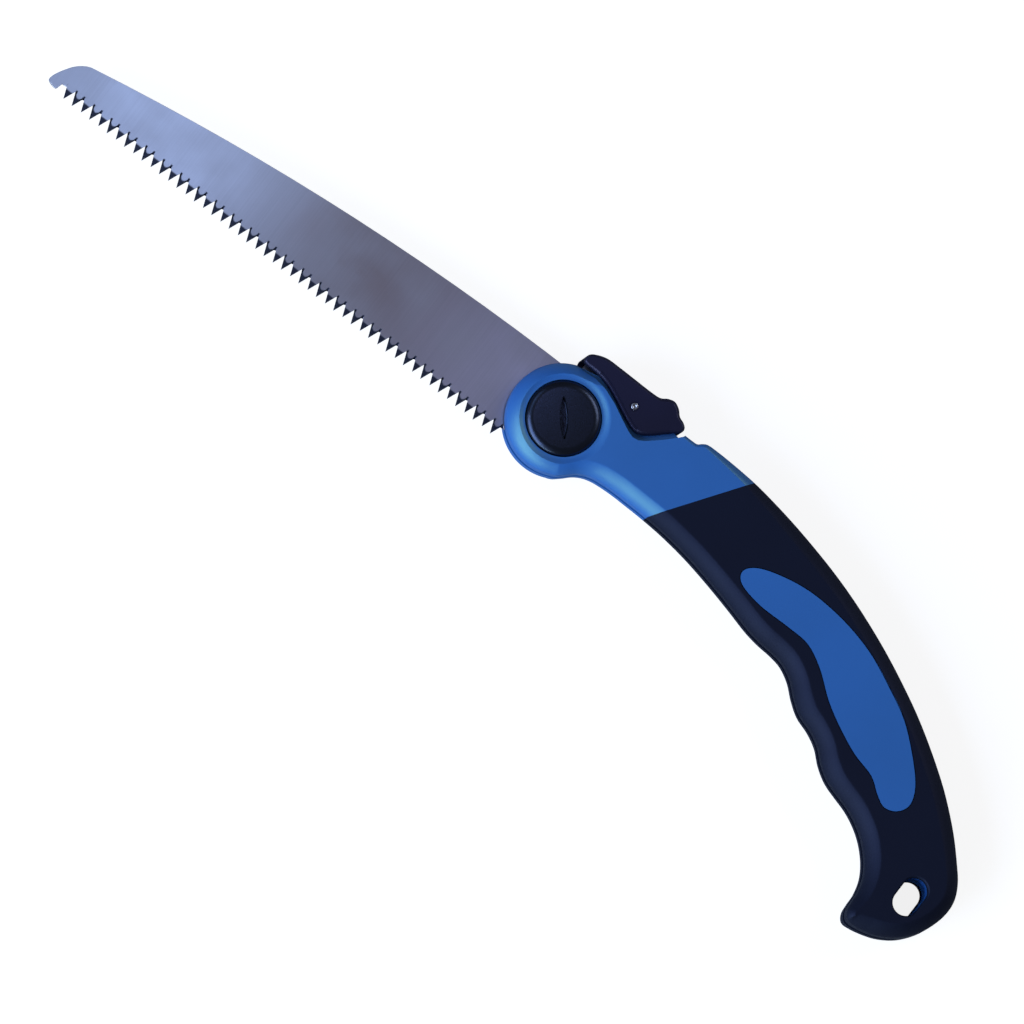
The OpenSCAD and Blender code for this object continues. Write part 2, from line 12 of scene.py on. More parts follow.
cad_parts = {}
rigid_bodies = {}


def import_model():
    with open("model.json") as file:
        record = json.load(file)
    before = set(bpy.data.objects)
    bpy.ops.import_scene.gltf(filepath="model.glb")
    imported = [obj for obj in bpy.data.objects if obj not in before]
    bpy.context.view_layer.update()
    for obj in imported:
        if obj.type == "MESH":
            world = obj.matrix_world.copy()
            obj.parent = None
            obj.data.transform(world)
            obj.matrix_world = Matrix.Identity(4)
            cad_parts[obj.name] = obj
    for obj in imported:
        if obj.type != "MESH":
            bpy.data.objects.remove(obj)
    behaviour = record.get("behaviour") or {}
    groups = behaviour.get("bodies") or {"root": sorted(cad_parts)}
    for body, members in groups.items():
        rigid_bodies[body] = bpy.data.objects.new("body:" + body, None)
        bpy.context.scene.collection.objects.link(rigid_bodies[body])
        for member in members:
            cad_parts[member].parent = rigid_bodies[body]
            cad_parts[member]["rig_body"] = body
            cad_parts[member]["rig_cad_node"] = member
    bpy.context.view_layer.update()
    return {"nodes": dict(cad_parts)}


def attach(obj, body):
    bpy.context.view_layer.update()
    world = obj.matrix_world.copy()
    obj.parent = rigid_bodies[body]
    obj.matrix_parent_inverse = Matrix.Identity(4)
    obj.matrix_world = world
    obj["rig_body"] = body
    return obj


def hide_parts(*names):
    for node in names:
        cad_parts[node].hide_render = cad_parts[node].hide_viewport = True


log = logging.getLogger("pruning_saw")

MM = 0.001
# the form of every rounded edge: 1 would be a chamfer and 2 a quarter round
EDGE_FORM = 1.4
# distances in metres under which corners merge and faces vanish, in a new mesh and in a finished piece
NEW_MERGE, NEW_VANISH = 2e-7, 1e-8
LAST_MERGE, LAST_VANISH = 1e-6, 1e-7
# steps per metre in which a corner's place is compared
PLACE_STEPS = 1e7
# the Mix node's sockets, several of which share a name
MIX_SHARE, COLOUR_A, COLOUR_B, COLOUR_OUT = 0, 6, 7, 2
VALUE_A, VALUE_B, VALUE_OUT = 2, 3, 0
Point = tuple[float, float]
Knot = tuple[float, float, float]
Ring = list[Knot]

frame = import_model()


# ---- options -------------------------------------------------------------------------------------


class Body(Enum):
    """The rigid bodies that pieces ride on."""

    HANDLE = "handle"
    BLADE = "blade"
    LEVER = "lever"
    SCREW = "tension_screw"


class Slot(Enum):
    """The record's material slots."""

    CORE = "core"
    GRIP = "grip"
    BLADE = "blade"
    FITTINGS = "fittings"
    BLACK = "black_plastic"


# ---- curves --------------------------------------------------------------------------------------


def blend(a: Sequence[float], b: Sequence[float], c: Sequence[float], d: Sequence[float], t: float) -> Knot:
    """Catmull-Rom blend of four knots.

    Args:
        a: The knot before the span.
        b: The knot at the span's start.
        c: The knot at the span's end.
        d: The knot after the span.
        t: How far along the span, from 0 to 1.

    Returns:
        The point's x, y and edge rounding, in millimetres.
    """
    return tuple(
        0.5 * (2 * q + (r - p) * t + (2 * p - 5 * q + 4 * r - s) * t**2 + (3 * q - p - 3 * r + s) * t**3)
        for p, q, r, s in zip(a, b, c, d)
    )


def open_curve(knots: Sequence[Knot], steps: int) -> list[Knot]:
    """A smooth curve from the second knot to the last but one.

    Args:
        knots: The knots; the first and last only steer the curve.
        steps: Points per span.

    Returns:
        The points of the curve.
    """
    points = [
        blend(knots[i - 1], knots[i], knots[i + 1], knots[i + 2], j / steps)
        for i in range(1, len(knots) - 2)
        for j in range(steps)
    ]
    return points + [tuple(knots[-2])]


def closed_curve(knots: Sequence[Knot], steps: int) -> list[Knot]:
    """A smooth closed curve through all the knots.

    Args:
        knots: The knots, in order round the shape.
        steps: Points per span.

    Returns:
        The points of the curve.
    """
    n = len(knots)
    return [
        blend(knots[i - 1], knots[i], knots[(i + 1) % n], knots[(i + 2) % n], j / steps)
        for i in range(n)
        for j in range(steps)
    ]


def edge_place(a: float) -> Point:
    """Where a rounded edge stands, between a chamfer and a quarter round.

    Args:
        a: The turn from the flat side (0) to the upright side (a quarter turn), in radians.

    Returns:
        The shares of the rounding that it is drawn in and has risen.
    """
    power = 2 / EDGE_FORM
    return 1 - math.sin(a) ** power, 1 - max(math.cos(a), 0.0) ** power


@dataclass
class Outline:
    """An outline whose points each have an edge rounding, in millimetres.

    A counter-clockwise outline is drawn in by an inset above zero, and a clockwise one out.
    """

    points: list[Knot]
    ways: dict[int, Point] = field(default_factory=dict)

    def inward(self, i: int) -> Point:
        """The direction into the shape at a point.

        Args:
            i: The point's number.

        Returns:
            The direction, of length one unless it was set otherwise.
        """
        if i in self.ways:
            return self.ways[i]
        a, b = self.points[i - 1], self.points[(i + 1) % len(self.points)]
        dx, dy = b[0] - a[0], b[1] - a[1]
        size = math.hypot(dx, dy)
        return -dy / size, dx / size

    def lean(self, end: int, step: int, way: Point, span: int = 6) -> None:
        """Sets an end's inward direction and turns its neighbours' gradually back to their own.

        Args:
            end: The end point's number.
            step: 1 where its neighbours follow it, -1 where they come before.
            way: The end's direction.
            span: How many points lean.
        """
        for k in range(span):
            own, t = self.inward(end + k * step), k / span
            self.ways[end + k * step] = tuple(a * (1 - t) + b * t for a, b in zip(way, own))

    def inset(self, share: float, more: float = 0.0) -> list[Point]:
        """The outline set in.

        Args:
            share: Share of each point's own rounding.
            more: Millimetres added to that everywhere.

        Returns:
            The points of the new outline.
        """
        inner = []
        for i, (x, y, r) in enumerate(self.points):
            wx, wy = self.inward(i)
            inner.append((x + (share * r + more) * wx, y + (share * r + more) * wy))
        return inner

    def rounded(self, low: float, high: float, steps: int) -> list[Ring]:
        """Rings of a plate between two heights whose edges are rounded over.

        Args:
            low: Height of the under side.
            high: Height of the upper side.
            steps: Steps in each quarter turn.

        Returns:
            The rings from bottom to top. A ring isn't level where the rounding varies along it.
        """
        places = [edge_place(math.pi / 2 * s / steps) for s in range(steps + 1)]
        rings = []
        for drawn, risen in places:
            rings.append([(x, y, low + p[2] * risen) for (x, y), p in zip(self.inset(drawn), self.points)])
        for drawn, risen in reversed(places):
            rings.append([(x, y, high - p[2] * risen) for (x, y), p in zip(self.inset(drawn), self.points)])
        return rings

    def straight(self, heights: Sequence[Point]) -> list[Ring]:
        """Rings of a plate whose outline is set in by a given amount at each height.

        Args:
            heights: Pairs of height and inset, from bottom to top.

        Returns:
            The rings.
        """
        return [[(x, y, z) for x, y in self.inset(0, more)] for z, more in heights]


# ---- modelling -----------------------------------------------------------------------------------


def deselect() -> None:
    """Leaves nothing selected, in object mode."""
    if bpy.context.object and bpy.context.object.mode != "OBJECT":
        bpy.ops.object.mode_set(mode="OBJECT")
    bpy.ops.object.select_all(action="DESELECT")


def pick(piece: bpy.types.Object) -> None:
    """Makes a piece the only one selected, and active.

    Args:
        piece: The piece.
    """
    deselect()
    piece.select_set(True)
    bpy.context.view_layer.objects.active = piece


def apply_modifier(piece: bpy.types.Object, kind: str, **settings: object) -> None:
    """Adds a modifier to a piece and applies it.

    Args:
        piece: The piece.
        kind: The modifier's type.
        settings: Values for the modifier's own settings.
    """
    pick(piece)
    bpy.ops.object.modifier_add(type=kind)
    modifier = piece.modifiers[-1]
    for name, value in settings.items():
        setattr(modifier, name, value)
    bpy.ops.object.modifier_apply(modifier=modifier.name)


def place_key(place: Vector) -> tuple[int, ...]:
    """A corner's place in whole steps, to find it by."""
    return tuple(round(c * PLACE_STEPS) for c in place)


def close_mesh() -> None:
    """Merges the doubled corners of a mesh in edit mode, turns its faces outwards and leaves edit mode."""
    bpy.ops.mesh.select_all(action="SELECT")
    bpy.ops.mesh.remove_doubles(threshold=NEW_MERGE)
    bpy.ops.mesh.dissolve_degenerate(threshold=NEW_VANISH)
    bpy.ops.mesh.delete_loose(use_verts=True, use_edges=True, use_faces=False)
    bpy.ops.mesh.select_all(action="SELECT")
    bpy.ops.mesh.normals_make_consistent(inside=False)
    bpy.ops.object.mode_set(mode="OBJECT")


def loft(name: str, rings: Sequence[Ring]) -> bpy.types.Object:
    """Extrudes a filled circle ring by ring and moves each new ring to its place.

    Args:
        name: The piece's name.
        rings: Rings with the same number of points, in millimetres, from bottom to top.

    Returns:
        The closed piece.
    """
    deselect()
    bpy.ops.mesh.primitive_circle_add(vertices=len(rings[0]), fill_type="NGON", location=(0, 0, 0))
    piece = bpy.context.object
    piece.name = piece.data.name = name
    places = [[Vector(p) * MM for p in ring] for ring in rings]
    for v, place in zip(piece.data.vertices, places[0]):
        v.co = place
    bpy.ops.object.mode_set(mode="EDIT")
    bpy.ops.mesh.select_all(action="SELECT")
    for before, after in zip(places, places[1:]):
        bpy.ops.mesh.extrude_region_move()
        mesh = bmesh.from_edit_mesh(piece.data)
        # the new corners come in any order, so each is found by the place that it was drawn out from
        loose = {place_key(v.co): v for v in mesh.verts if v.select}
        if len(loose) != len(before):
            raise ValueError(f"{name}: a ring has points in one place")
        for v in mesh.verts:
            v.tag = False
        for old, new in zip(before, after):
            v = loose.get(place_key(old))
            if v is None:
                v = min((w for w in loose.values() if not w.tag), key=lambda w: (w.co - old).length)
            v.tag = True
            v.co = new
        bmesh.update_edit_mesh(piece.data)
    close_mesh()
    return piece


def slab(name: str, points: Sequence[Point], low: float, high: float) -> bpy.types.Object:
    """A flat-sided plate over an outline.

    Args:
        name: The piece's name.
        points: The outline, in millimetres.
        low: Height of the under side.
        high: Height of the upper side.

    Returns:
        The closed piece.
    """
    return loft(name, [[(x, y, z) for x, y in points] for z in (low, high)])


def turned(name: str, profile: Sequence[Point], steps: int = 128) -> bpy.types.Object:
    """Spins a closed profile round the pivot's axis.

    Args:
        name: The piece's name.
        profile: Closed profile as radius and height, in millimetres.
        steps: Faces round the axis.

    Returns:
        The closed piece.
    """
    deselect()
    bpy.ops.mesh.primitive_circle_add(vertices=len(profile), fill_type="NOTHING", location=(0, 0, 0))
    piece = bpy.context.object
    piece.name = piece.data.name = name
    for v, (r, z) in zip(piece.data.vertices, profile):
        v.co = Vector((r, 0, z)) * MM
    bpy.ops.object.mode_set(mode="EDIT")
    bpy.ops.mesh.select_all(action="SELECT")
    bpy.ops.mesh.spin(steps=steps, angle=2 * math.pi, center=(0, 0, 0), axis=(0, 0, 1))
    close_mesh()
    return piece


def circle(x: float, y: float, radius: float, sides: int) -> list[Point]:
    """Points of a circle, in millimetres."""
    angles = [2 * math.pi * k / sides for k in range(sides)]
    return [(x + radius * math.cos(a), y + radius * math.sin(a)) for a in angles]


def post(name: str, x: float, y: float, rings: Sequence[Point], sides: int) -> bpy.types.Object:
    """A round post along Z from rings of radius and height.

    Args:
        name: The piece's name.
        x: Place of the axis.
        y: Place of the axis.
        rings: Pairs of radius and height from bottom to top, in millimetres.
        sides: Faces round the post.

    Returns:
        The closed piece.
    """
    return loft(name, [[(*place, z) for place in circle(x, y, r, sides)] for r, z in rings])


def cut(piece: bpy.types.Object, tool: bpy.types.Object, keep_tool: bool = False) -> None:
    """Cuts a tool solid out of a piece.

    Args:
        piece: The piece.
        tool: The tool solid.
        keep_tool: Whether the tool is used again.
    """
    apply_modifier(piece, "BOOLEAN", operation="DIFFERENCE", solver="EXACT", object=tool)
    if not keep_tool:
        bpy.data.objects.remove(tool, do_unlink=True)


def smooth(piece: bpy.types.Object, angle: float = 34.0) -> None:
    """Merges doubles, shades round faces smooth and keeps flat faces flat.

    Args:
        piece: The piece.
        angle: Edges sharper than this stay crisp, in degrees.
    """
    pick(piece)
    bpy.ops.object.mode_set(mode="EDIT")
    bpy.ops.mesh.select_all(action="SELECT")
    bpy.ops.mesh.remove_doubles(threshold=LAST_MERGE)
    bpy.ops.mesh.dissolve_degenerate(threshold=LAST_VANISH)
    bpy.ops.object.mode_set(mode="OBJECT")
    bpy.ops.object.shade_smooth_by_angle(angle=math.radians(angle))
    apply_modifier(piece, "WEIGHTED_NORMAL", keep_sharp=True, weight=60)


def seat(piece: bpy.types.Object, body: Body, slot: Slot, finish: bpy.types.Material, *nodes: str) -> None:
    """Gives a piece its finish, its body and the CAD nodes that it stands for.

    Args:
        piece: The piece.
        body: The body that it rides on.
        slot: The record's slot of its finish; not used.
        finish: Its material.
        nodes: CAD nodes that it replaces.
    """
    if not piece.data.materials:
        piece.data.materials.append(finish)
    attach(piece, body.value)
    if nodes:
        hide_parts(*nodes)
    log.info("%s: %d faces on %s", piece.name, len(piece.data.polygons), body.value)


# ---- materials -----------------------------------------------------------------------------------


def linear(hex_colour: str) -> tuple[float, float, float, float]:
    """An sRGB hex colour in the linear values that shaders take."""
    parts = [int(hex_colour[i : i + 2], 16) / 255 for i in (1, 3, 5)]
    return tuple(c / 12.92 if c <= 0.04045 else ((c + 0.055) / 1.055) ** 2.4 for c in parts) + (1.0,)


def repeats(size_mm: float) -> float:
    """The scale of a pattern whose grains are this size: how many stand in a metre."""
    return 1 / (size_mm * MM)


def connect(tree: bpy.types.NodeTree, node: bpy.types.Node, links: dict) -> None:
    """Gives a node's inputs their values and links.

    Args:
        tree: The material's node tree.
        node: The node.
        links: Input name or number to a value or to an output socket of another node.
    """
    for key, value in links.items():
        socket = node.inputs[key]
        if isinstance(value, bpy.types.NodeSocket):
            tree.links.new(value, socket)
        else:
            socket.default_value = value


def add_node(
    tree: bpy.types.NodeTree, kind: str, links: dict | None = None, **settings: object
) -> bpy.types.Node:
    """Adds a shader node with its settings and links.

    Args:
        tree: The material's node tree.
        kind: The node's type, without its ShaderNode prefix.
        links: Input name or number to a value or to an output socket of another node.
        settings: Values for the node's own settings.

    Returns:
        The node.
    """
    node = tree.nodes.new("ShaderNode" + kind)
    for name, value in settings.items():
        setattr(node, name, value)
    connect(tree, node, links or {})
    return node


def new_material(name: str) -> tuple[bpy.types.Material, bpy.types.NodeTree, bpy.types.Node]:
    """A material with a principled shader and nothing else.

    Args:
        name: The finish's name.

    Returns:
        The material, its tree and its shader.
    """
    material = bpy.data.materials.new(name)
    material.use_nodes = True
    tree = material.node_tree
    tree.nodes.clear()
    shader = add_node(tree, "BsdfPrincipled")
    add_node(tree, "OutputMaterial", {"Surface": shader.outputs["BSDF"]})
    return material, tree, shader


@dataclass(frozen=True)
class MouldedPlastic:
    """A moulded polymer with a spark-eroded grain: an even colour, a soft wide highlight and faint flow tone.

    The grain is drawn coarser than a real one, so that it shows.
    """

    name: str
    colour: str
    deep: str
    roughness: float
    grain_mm: float
    relief: float
    glint: str
    shine: float = 0.5
    ior: float = 1.49
    flow_mm: float = 38.0
    swing: Point = (-0.05, 0.06)

    def make(self) -> bpy.types.Material:
        """Builds the material.

        Returns:
            The material.
        """
        material, tree, shader = new_material(self.name)
        place = add_node(tree, "TexCoord").outputs["Object"]
        grain = add_node(tree, "TexNoise", {"Vector": place, "Scale": repeats(self.grain_mm), "Detail": 2.0})
        flow = add_node(tree, "TexNoise", {"Vector": place, "Scale": repeats(self.flow_mm), "Detail": 3.0})
        tone = add_node(tree, "MapRange", {"Value": flow.outputs["Fac"], "From Min": 0.35, "From Max": 0.65})
        shades = {
            MIX_SHARE: tone.outputs["Result"],
            COLOUR_A: linear(self.deep),
            COLOUR_B: linear(self.colour),
        }
        paint = add_node(tree, "Mix", shades, data_type="RGBA")
        ends = {"To Min": self.roughness + self.swing[0], "To Max": self.roughness + self.swing[1]}
        rough = add_node(tree, "MapRange", {"Value": grain.outputs["Fac"], **ends})
        depth = self.grain_mm * MM * 0.3
        height = {"Height": grain.outputs["Fac"], "Strength": self.relief, "Distance": depth}
        bump = add_node(tree, "Bump", height)
        finish = {
            "Base Color": paint.outputs[COLOUR_OUT],
            "Roughness": rough.outputs["Result"],
            "Normal": bump.outputs["Normal"],
            "IOR": self.ior,
            "Specular IOR Level": self.shine,
            "Specular Tint": linear(self.glint),
        }
        connect(tree, shader, finish)
        return material


@dataclass(frozen=True)
class MouldedRubber:
    """Thermoplastic rubber moulded over the core: near black with a blue cast, dull, with a fine stipple."""

    name: str
    colour: str
    deep: str
    glint: str
    roughness: float = 0.62
    stipple_mm: float = 0.55
    relief: float = 0.3
    cloud_mm: float = 26.0
    swing: Point = (-0.07, 0.07)

    def make(self) -> bpy.types.Material:
        """Builds the material.

        Returns:
            The material.
        """
        material, tree, shader = new_material(self.name)
        place = add_node(tree, "TexCoord").outputs["Object"]
        dots = {"Vector": place, "Scale": repeats(self.stipple_mm), "Randomness": 0.9}
        stipple = add_node(tree, "TexVoronoi", dots)
        cloud = add_node(tree, "TexNoise", {"Vector": place, "Scale": repeats(self.cloud_mm), "Detail": 4.0})
        shades = {
            MIX_SHARE: cloud.outputs["Fac"],
            COLOUR_A: linear(self.deep),
            COLOUR_B: linear(self.colour),
        }
        paint = add_node(tree, "Mix", shades, data_type="RGBA")
        ends = {"To Min": self.roughness + self.swing[0], "To Max": self.roughness + self.swing[1]}
        rough = add_node(tree, "MapRange", {"Value": cloud.outputs["Fac"], **ends})
        depth = self.stipple_mm * MM * 0.15
        height = {"Height": stipple.outputs["Distance"], "Strength": self.relief, "Distance": depth}
        bump = add_node(tree, "Bump", height)
        finish = {
            "Base Color": paint.outputs[COLOUR_OUT],
            "Roughness": rough.outputs["Result"],
            "Normal": bump.outputs["Normal"],
            "IOR": 1.5,
            "Specular IOR Level": 0.35,
            "Specular Tint": linear(self.glint),
        }
        connect(tree, shader, finish)
        return material


@dataclass(frozen=True)
class HardenedTeeth:
    """The blue-black of impulse hardening: whole tips, and a pair of horns up from each ground tooth.

    Lengths are in millimetres: heights over the gullets, and distances along the blade from the middle of
    the nearest ground tooth.
    """

    colour: str = "#1d2236"
    roughness: float = 0.5
    metal: float = 0.55
    root_mm: float = 13.6
    pitch_mm: float = 3.6
    last_mm: float = 191.9
    # how far the dark's edge wavers
    wave_mm: float = 0.25
    # the dark's edge on a ground tooth: a hollow that is lowest in its middle
    hollow_low: float = -0.7
    hollow_bow: float = 0.7
    hollow_top: float = 0.3
    # the same on the teeth between
    plain_top: float = -0.45
    tip_fade: Point = (-0.3, 0.35)
    # a horn's middle and half its width at the gullets, and what a millimetre of height adds
    horn_aside: float = 1.45
    horn_lean: float = 0.1
    horn_half: float = 0.42
    horn_taper: float = -0.05
    horn_fade: Point = (0.6, 1.2)
    horn_top: Point = (1.0, 1.5)
    # where the bright nose starts, past the last tooth's tip
    nose_from: Point = (1.5, 2.0)

    def mask(
        self, tree: bpy.types.NodeTree, place: bpy.types.NodeSocket, stain: bpy.types.Node
    ) -> bpy.types.NodeSocket:
        """Draws where the steel is hardened.

        Args:
            tree: The material's tree.
            place: The object coordinates.
            stain: A soft noise that makes the edge uneven.

        Returns:
            A mask that is 1 where the steel is hardened.
        """

        def math_node(operation: str, *values: object) -> bpy.types.NodeSocket:
            """A maths node's result."""
            return add_node(tree, "Math", dict(enumerate(values)), operation=operation).outputs["Value"]

        def fade(value: bpy.types.NodeSocket, dark: float, light: float) -> bpy.types.NodeSocket:
            """1 at the dark end of a soft step and 0 at the light end."""
            span = {"Value": value, "From Min": dark, "From Max": light, "To Min": 1.0, "To Max": 0.0}
            return add_node(tree, "MapRange", span, interpolation_type="SMOOTHSTEP").outputs["Result"]

        millimetres = add_node(tree, "VectorMath", {0: place, "Scale": 1 / MM}, operation="SCALE")
        axes = add_node(tree, "SeparateXYZ", {"Vector": millimetres.outputs["Vector"]})
        x, y = axes.outputs["X"], axes.outputs["Y"]
        aside = math_node("PINGPONG", math_node("ADD", x, self.last_mm + self.pitch_mm), self.pitch_mm)
        rise = math_node("ADD", y, self.root_mm)
        own_tooth = fade(aside, self.pitch_mm / 2 - 0.05, self.pitch_mm / 2 + 0.05)
        wave = math_node("MULTIPLY_ADD", stain.outputs["Fac"], 2 * self.wave_mm, -self.wave_mm)
        square = math_node("MULTIPLY", aside, aside)
        bowed = math_node("MULTIPLY_ADD", square, self.hollow_bow, self.hollow_low)
        hollow = math_node("MINIMUM", bowed, self.hollow_top)
        tops = {MIX_SHARE: own_tooth, VALUE_A: self.plain_top, VALUE_B: hollow}
        top = add_node(tree, "Mix", tops, data_type="FLOAT").outputs[VALUE_OUT]
        tips = fade(math_node("SUBTRACT", math_node("ADD", rise, wave), top), *self.tip_fade)
        middle = math_node("MULTIPLY_ADD", rise, self.horn_lean, self.horn_aside)
        half = math_node("MULTIPLY_ADD", rise, self.horn_taper, self.horn_half)
        off = math_node("DIVIDE", math_node("ABSOLUTE", math_node("SUBTRACT", aside, middle)), half)
        horns = math_node("MULTIPLY", fade(off, *self.horn_fade), fade(rise, *self.horn_top))
        both = math_node("MAXIMUM", tips, horns)
        toothed = fade(math_node("MULTIPLY", x, -1.0), *(self.last_mm + gap for gap in self.nose_from))
        return math_node("MULTIPLY", both, toothed)


@dataclass(frozen=True)
class GroundSteel:
    """Cold-rolled steel ground across the blade: fine parallel scratches that spread highlights along it.

    The scratches are drawn further apart than real ones, so that they show.
    """

    name: str
    colour: str
    scratch: str
    roughness: float
    line_mm: float
    teeth: HardenedTeeth | None = None
    line_length_mm: float = 28.0
    stain_mm: float = 16.0
    swing: Point = (-0.04, 0.06)

    def make(self) -> bpy.types.Material:
        """Builds the material.

        Returns:
            The material.
        """
        material, tree, shader = new_material(self.name)
        place = add_node(tree, "TexCoord").outputs["Object"]
        # the scratches run along Y, so the pattern is stretched that way
        across, along = repeats(self.line_mm), repeats(self.line_length_mm)
        stretch = {"Vector": place, "Scale": (across, along, along)}
        stretched = add_node(tree, "Mapping", stretch).outputs["Vector"]
        lines = add_node(tree, "TexNoise", {"Vector": stretched, "Scale": 1.0, "Detail": 3.0})
        stain = add_node(tree, "TexNoise", {"Vector": place, "Scale": repeats(self.stain_mm), "Detail": 5.0})
        tone = add_node(tree, "MapRange", {"Value": lines.outputs["Fac"], "From Min": 0.3, "From Max": 0.7})
        shades = {
            MIX_SHARE: tone.outputs["Result"],
            COLOUR_A: linear(self.scratch),
            COLOUR_B: linear(self.colour),
        }
        steel = add_node(tree, "Mix", shades, data_type="RGBA")
        ends = {"To Min": self.roughness + self.swing[0], "To Max": self.roughness + self.swing[1]}
        rough = add_node(
            tree, "MapRange", {"Value": stain.outputs["Fac"], "From Min": 0.3, "From Max": 0.7, **ends}
        )
        colour, dull, metal = steel.outputs[COLOUR_OUT], rough.outputs["Result"], 1.0
        if self.teeth:
            band = self.teeth.mask(tree, place, stain)
            tints = {MIX_SHARE: band, COLOUR_A: colour, COLOUR_B: linear(self.teeth.colour)}
            colour = add_node(tree, "Mix", tints, data_type="RGBA").outputs[COLOUR_OUT]
            dulls = {MIX_SHARE: band, VALUE_A: dull, VALUE_B: self.teeth.roughness}
            dull = add_node(tree, "Mix", dulls, data_type="FLOAT").outputs[VALUE_OUT]
            coat = {"Value": band, "To Min": 1.0, "To Max": self.teeth.metal}
            metal = add_node(tree, "MapRange", coat).outputs["Result"]
        height = {"Height": lines.outputs["Fac"], "Strength": 0.04, "Distance": 0.02 * MM}
        bump = add_node(tree, "Bump", height)
        finish = {
            "Base Color": colour,
            "Roughness": dull,
            "Metallic": metal,
            "Normal": bump.outputs["Normal"],
        }
        connect(tree, shader, finish)
        return material


@dataclass(frozen=True)
class PlatedSteel:
    """Zinc-plated steel: bright, slightly cloudy, with a satin highlight."""

    name: str
    colour: str
    cloud: str
    roughness: float = 0.28
    cloud_mm: float = 2.4
    swing: Point = (-0.06, 0.1)

    def make(self) -> bpy.types.Material:
        """Builds the material.

        Returns:
            The material.
        """
        material, tree, shader = new_material(self.name)
        place = add_node(tree, "TexCoord").outputs["Object"]
        cloud = add_node(tree, "TexNoise", {"Vector": place, "Scale": repeats(self.cloud_mm), "Detail": 4.0})
        shades = {
            MIX_SHARE: cloud.outputs["Fac"],
            COLOUR_A: linear(self.cloud),
            COLOUR_B: linear(self.colour),
        }
        paint = add_node(tree, "Mix", shades, data_type="RGBA")
        ends = {"To Min": self.roughness + self.swing[0], "To Max": self.roughness + self.swing[1]}
        rough = add_node(tree, "MapRange", {"Value": cloud.outputs["Fac"], **ends})
        height = {"Height": cloud.outputs["Fac"], "Strength": 0.08, "Distance": 0.03 * MM}
        bump = add_node(tree, "Bump", height)
        finish = {
            "Base Color": paint.outputs[COLOUR_OUT],
            "Roughness": rough.outputs["Result"],
            "Normal": bump.outputs["Normal"],
            "Metallic": 1.0,
        }
        connect(tree, shader, finish)
        return material


@dataclass
class Finishes:
    """Every finish of the saw, made once."""

    core: bpy.types.Material
    rubber: bpy.types.Material
    black: bpy.types.Material
    knob: bpy.types.Material
    blade: bpy.types.Material
    ground: bpy.types.Material
    plated: bpy.types.Material

    @classmethod
    def make(cls) -> "Finishes":
        """Builds the materials.

        Returns:
            The finishes.
        """
        # glass-filled nylon, spark-eroded: even blue with a broad sheen, set brighter than bare nylon's and
        # tinted green, so that the rolled edges turn cyan where they catch the light
        core = MouldedPlastic(
            "blue_nylon_satin", "#2660b1", "#245caa",
            roughness=0.45, grain_mm=0.4, relief=0.2, glint="#b8f8ac", shine=0.9, ior=1.62,
        )
        # thermoplastic rubber, moulded on and stippled: near black with a blue cast, and hardly a highlight
        rubber = MouldedRubber("blue_black_rubber_stippled", "#0a0f1d", "#080b16", glint="#b4c0ff")
        # acetal, moulded and finely grained: near black with a violet cast and a faint sheen
        black = MouldedPlastic(
            "black_acetal_grained", "#15162b", "#111223",
            roughness=0.42, grain_mm=0.45, relief=0.3, glint="#c9c6ff",
        )
        # nylon, moulded and nearly smooth: black, with a clear blue-white gleam along the knob's rim
        knob = MouldedPlastic(
            "black_nylon_smooth", "#07080d", "#060709",
            roughness=0.29, grain_mm=0.5, relief=0.15, glint="#b8ccff", shine=0.85,
        )
        # saw steel, ground across: pale grey with a violet cast, and tips blackened by impulse hardening
        blade = GroundSteel(
            "ground_saw_steel_hardened_teeth", "#afadba", "#a9a7b4",
            roughness=0.36, line_mm=0.35, teeth=HardenedTeeth(),
        )
        # the flanks of the teeth, ground and then blued by the hardening: dark, with short glints
        ground = GroundSteel("ground_tooth_flank_blued", "#2b3048", "#22263c", roughness=0.42, line_mm=0.2)
        # bolt, nut and washers, zinc-plated: bright and slightly cloudy
        plated = PlatedSteel("zinc_plated_steel", "#c3c6cf", "#aeb1bb")
        return cls(*(finish.make() for finish in (core, rubber, black, knob, blade, ground, plated)))


# ---- shared sizes --------------------------------------------------------------------------------

# millimetres from the pivot's axis and from the plane that the saw lies on, as in the CAD source
THICK = 20.0
MID = THICK / 2
SLOT_W = 3.0
TANG_R = 15.3
HEAD_R = 18.4
BACK_RISE = 15.25
HEEL = 12.6
REACH = 200.06
FOLD = 162.0
TOOTH_LINE = 17.4
KNOB_R = 12.4
SEAT_GAP = 0.3
DISH_W = 3.1
DISH_D = 0.9
CAP_T = 1.8
LEVER_LOW = 0.2
PIN = (16.0, 17.5)
HOLE = (184.4, -53.75)
HOLE_W, HOLE_L = 8.7, 13.6
# how far a tool solid runs past the face that it opens, and past the whole saw
PAST = 1.0
FAR = 400.0


def arc(radius: float, start: float, end: float, steps: int) -> list[Point]:
    """Points of an arc about the pivot's axis, in millimetres."""
    turns = [math.radians(start + (end - start) * i / steps) for i in range(steps + 1)]
    return [(radius * math.cos(a), radius * math.sin(a)) for a in turns]


def turn_round(points: Sequence[Point], degrees: float) -> list[Point]:
    """Turns an outline about the pivot's axis and lists it counter-clockwise.

    Args:
        points: The outline, in millimetres.
        degrees: The turn.

    Returns:
        The turned outline.
    """
    cos, sin = math.cos(math.radians(degrees)), math.sin(math.radians(degrees))
    outline = [(x * cos - y * sin, x * sin + y * cos) for x, y in points]
    if sum(p[0] * q[1] - q[0] * p[1] for p, q in zip(outline, [*outline[1:], outline[0]])) < 0:
        outline.reverse()
    return outline


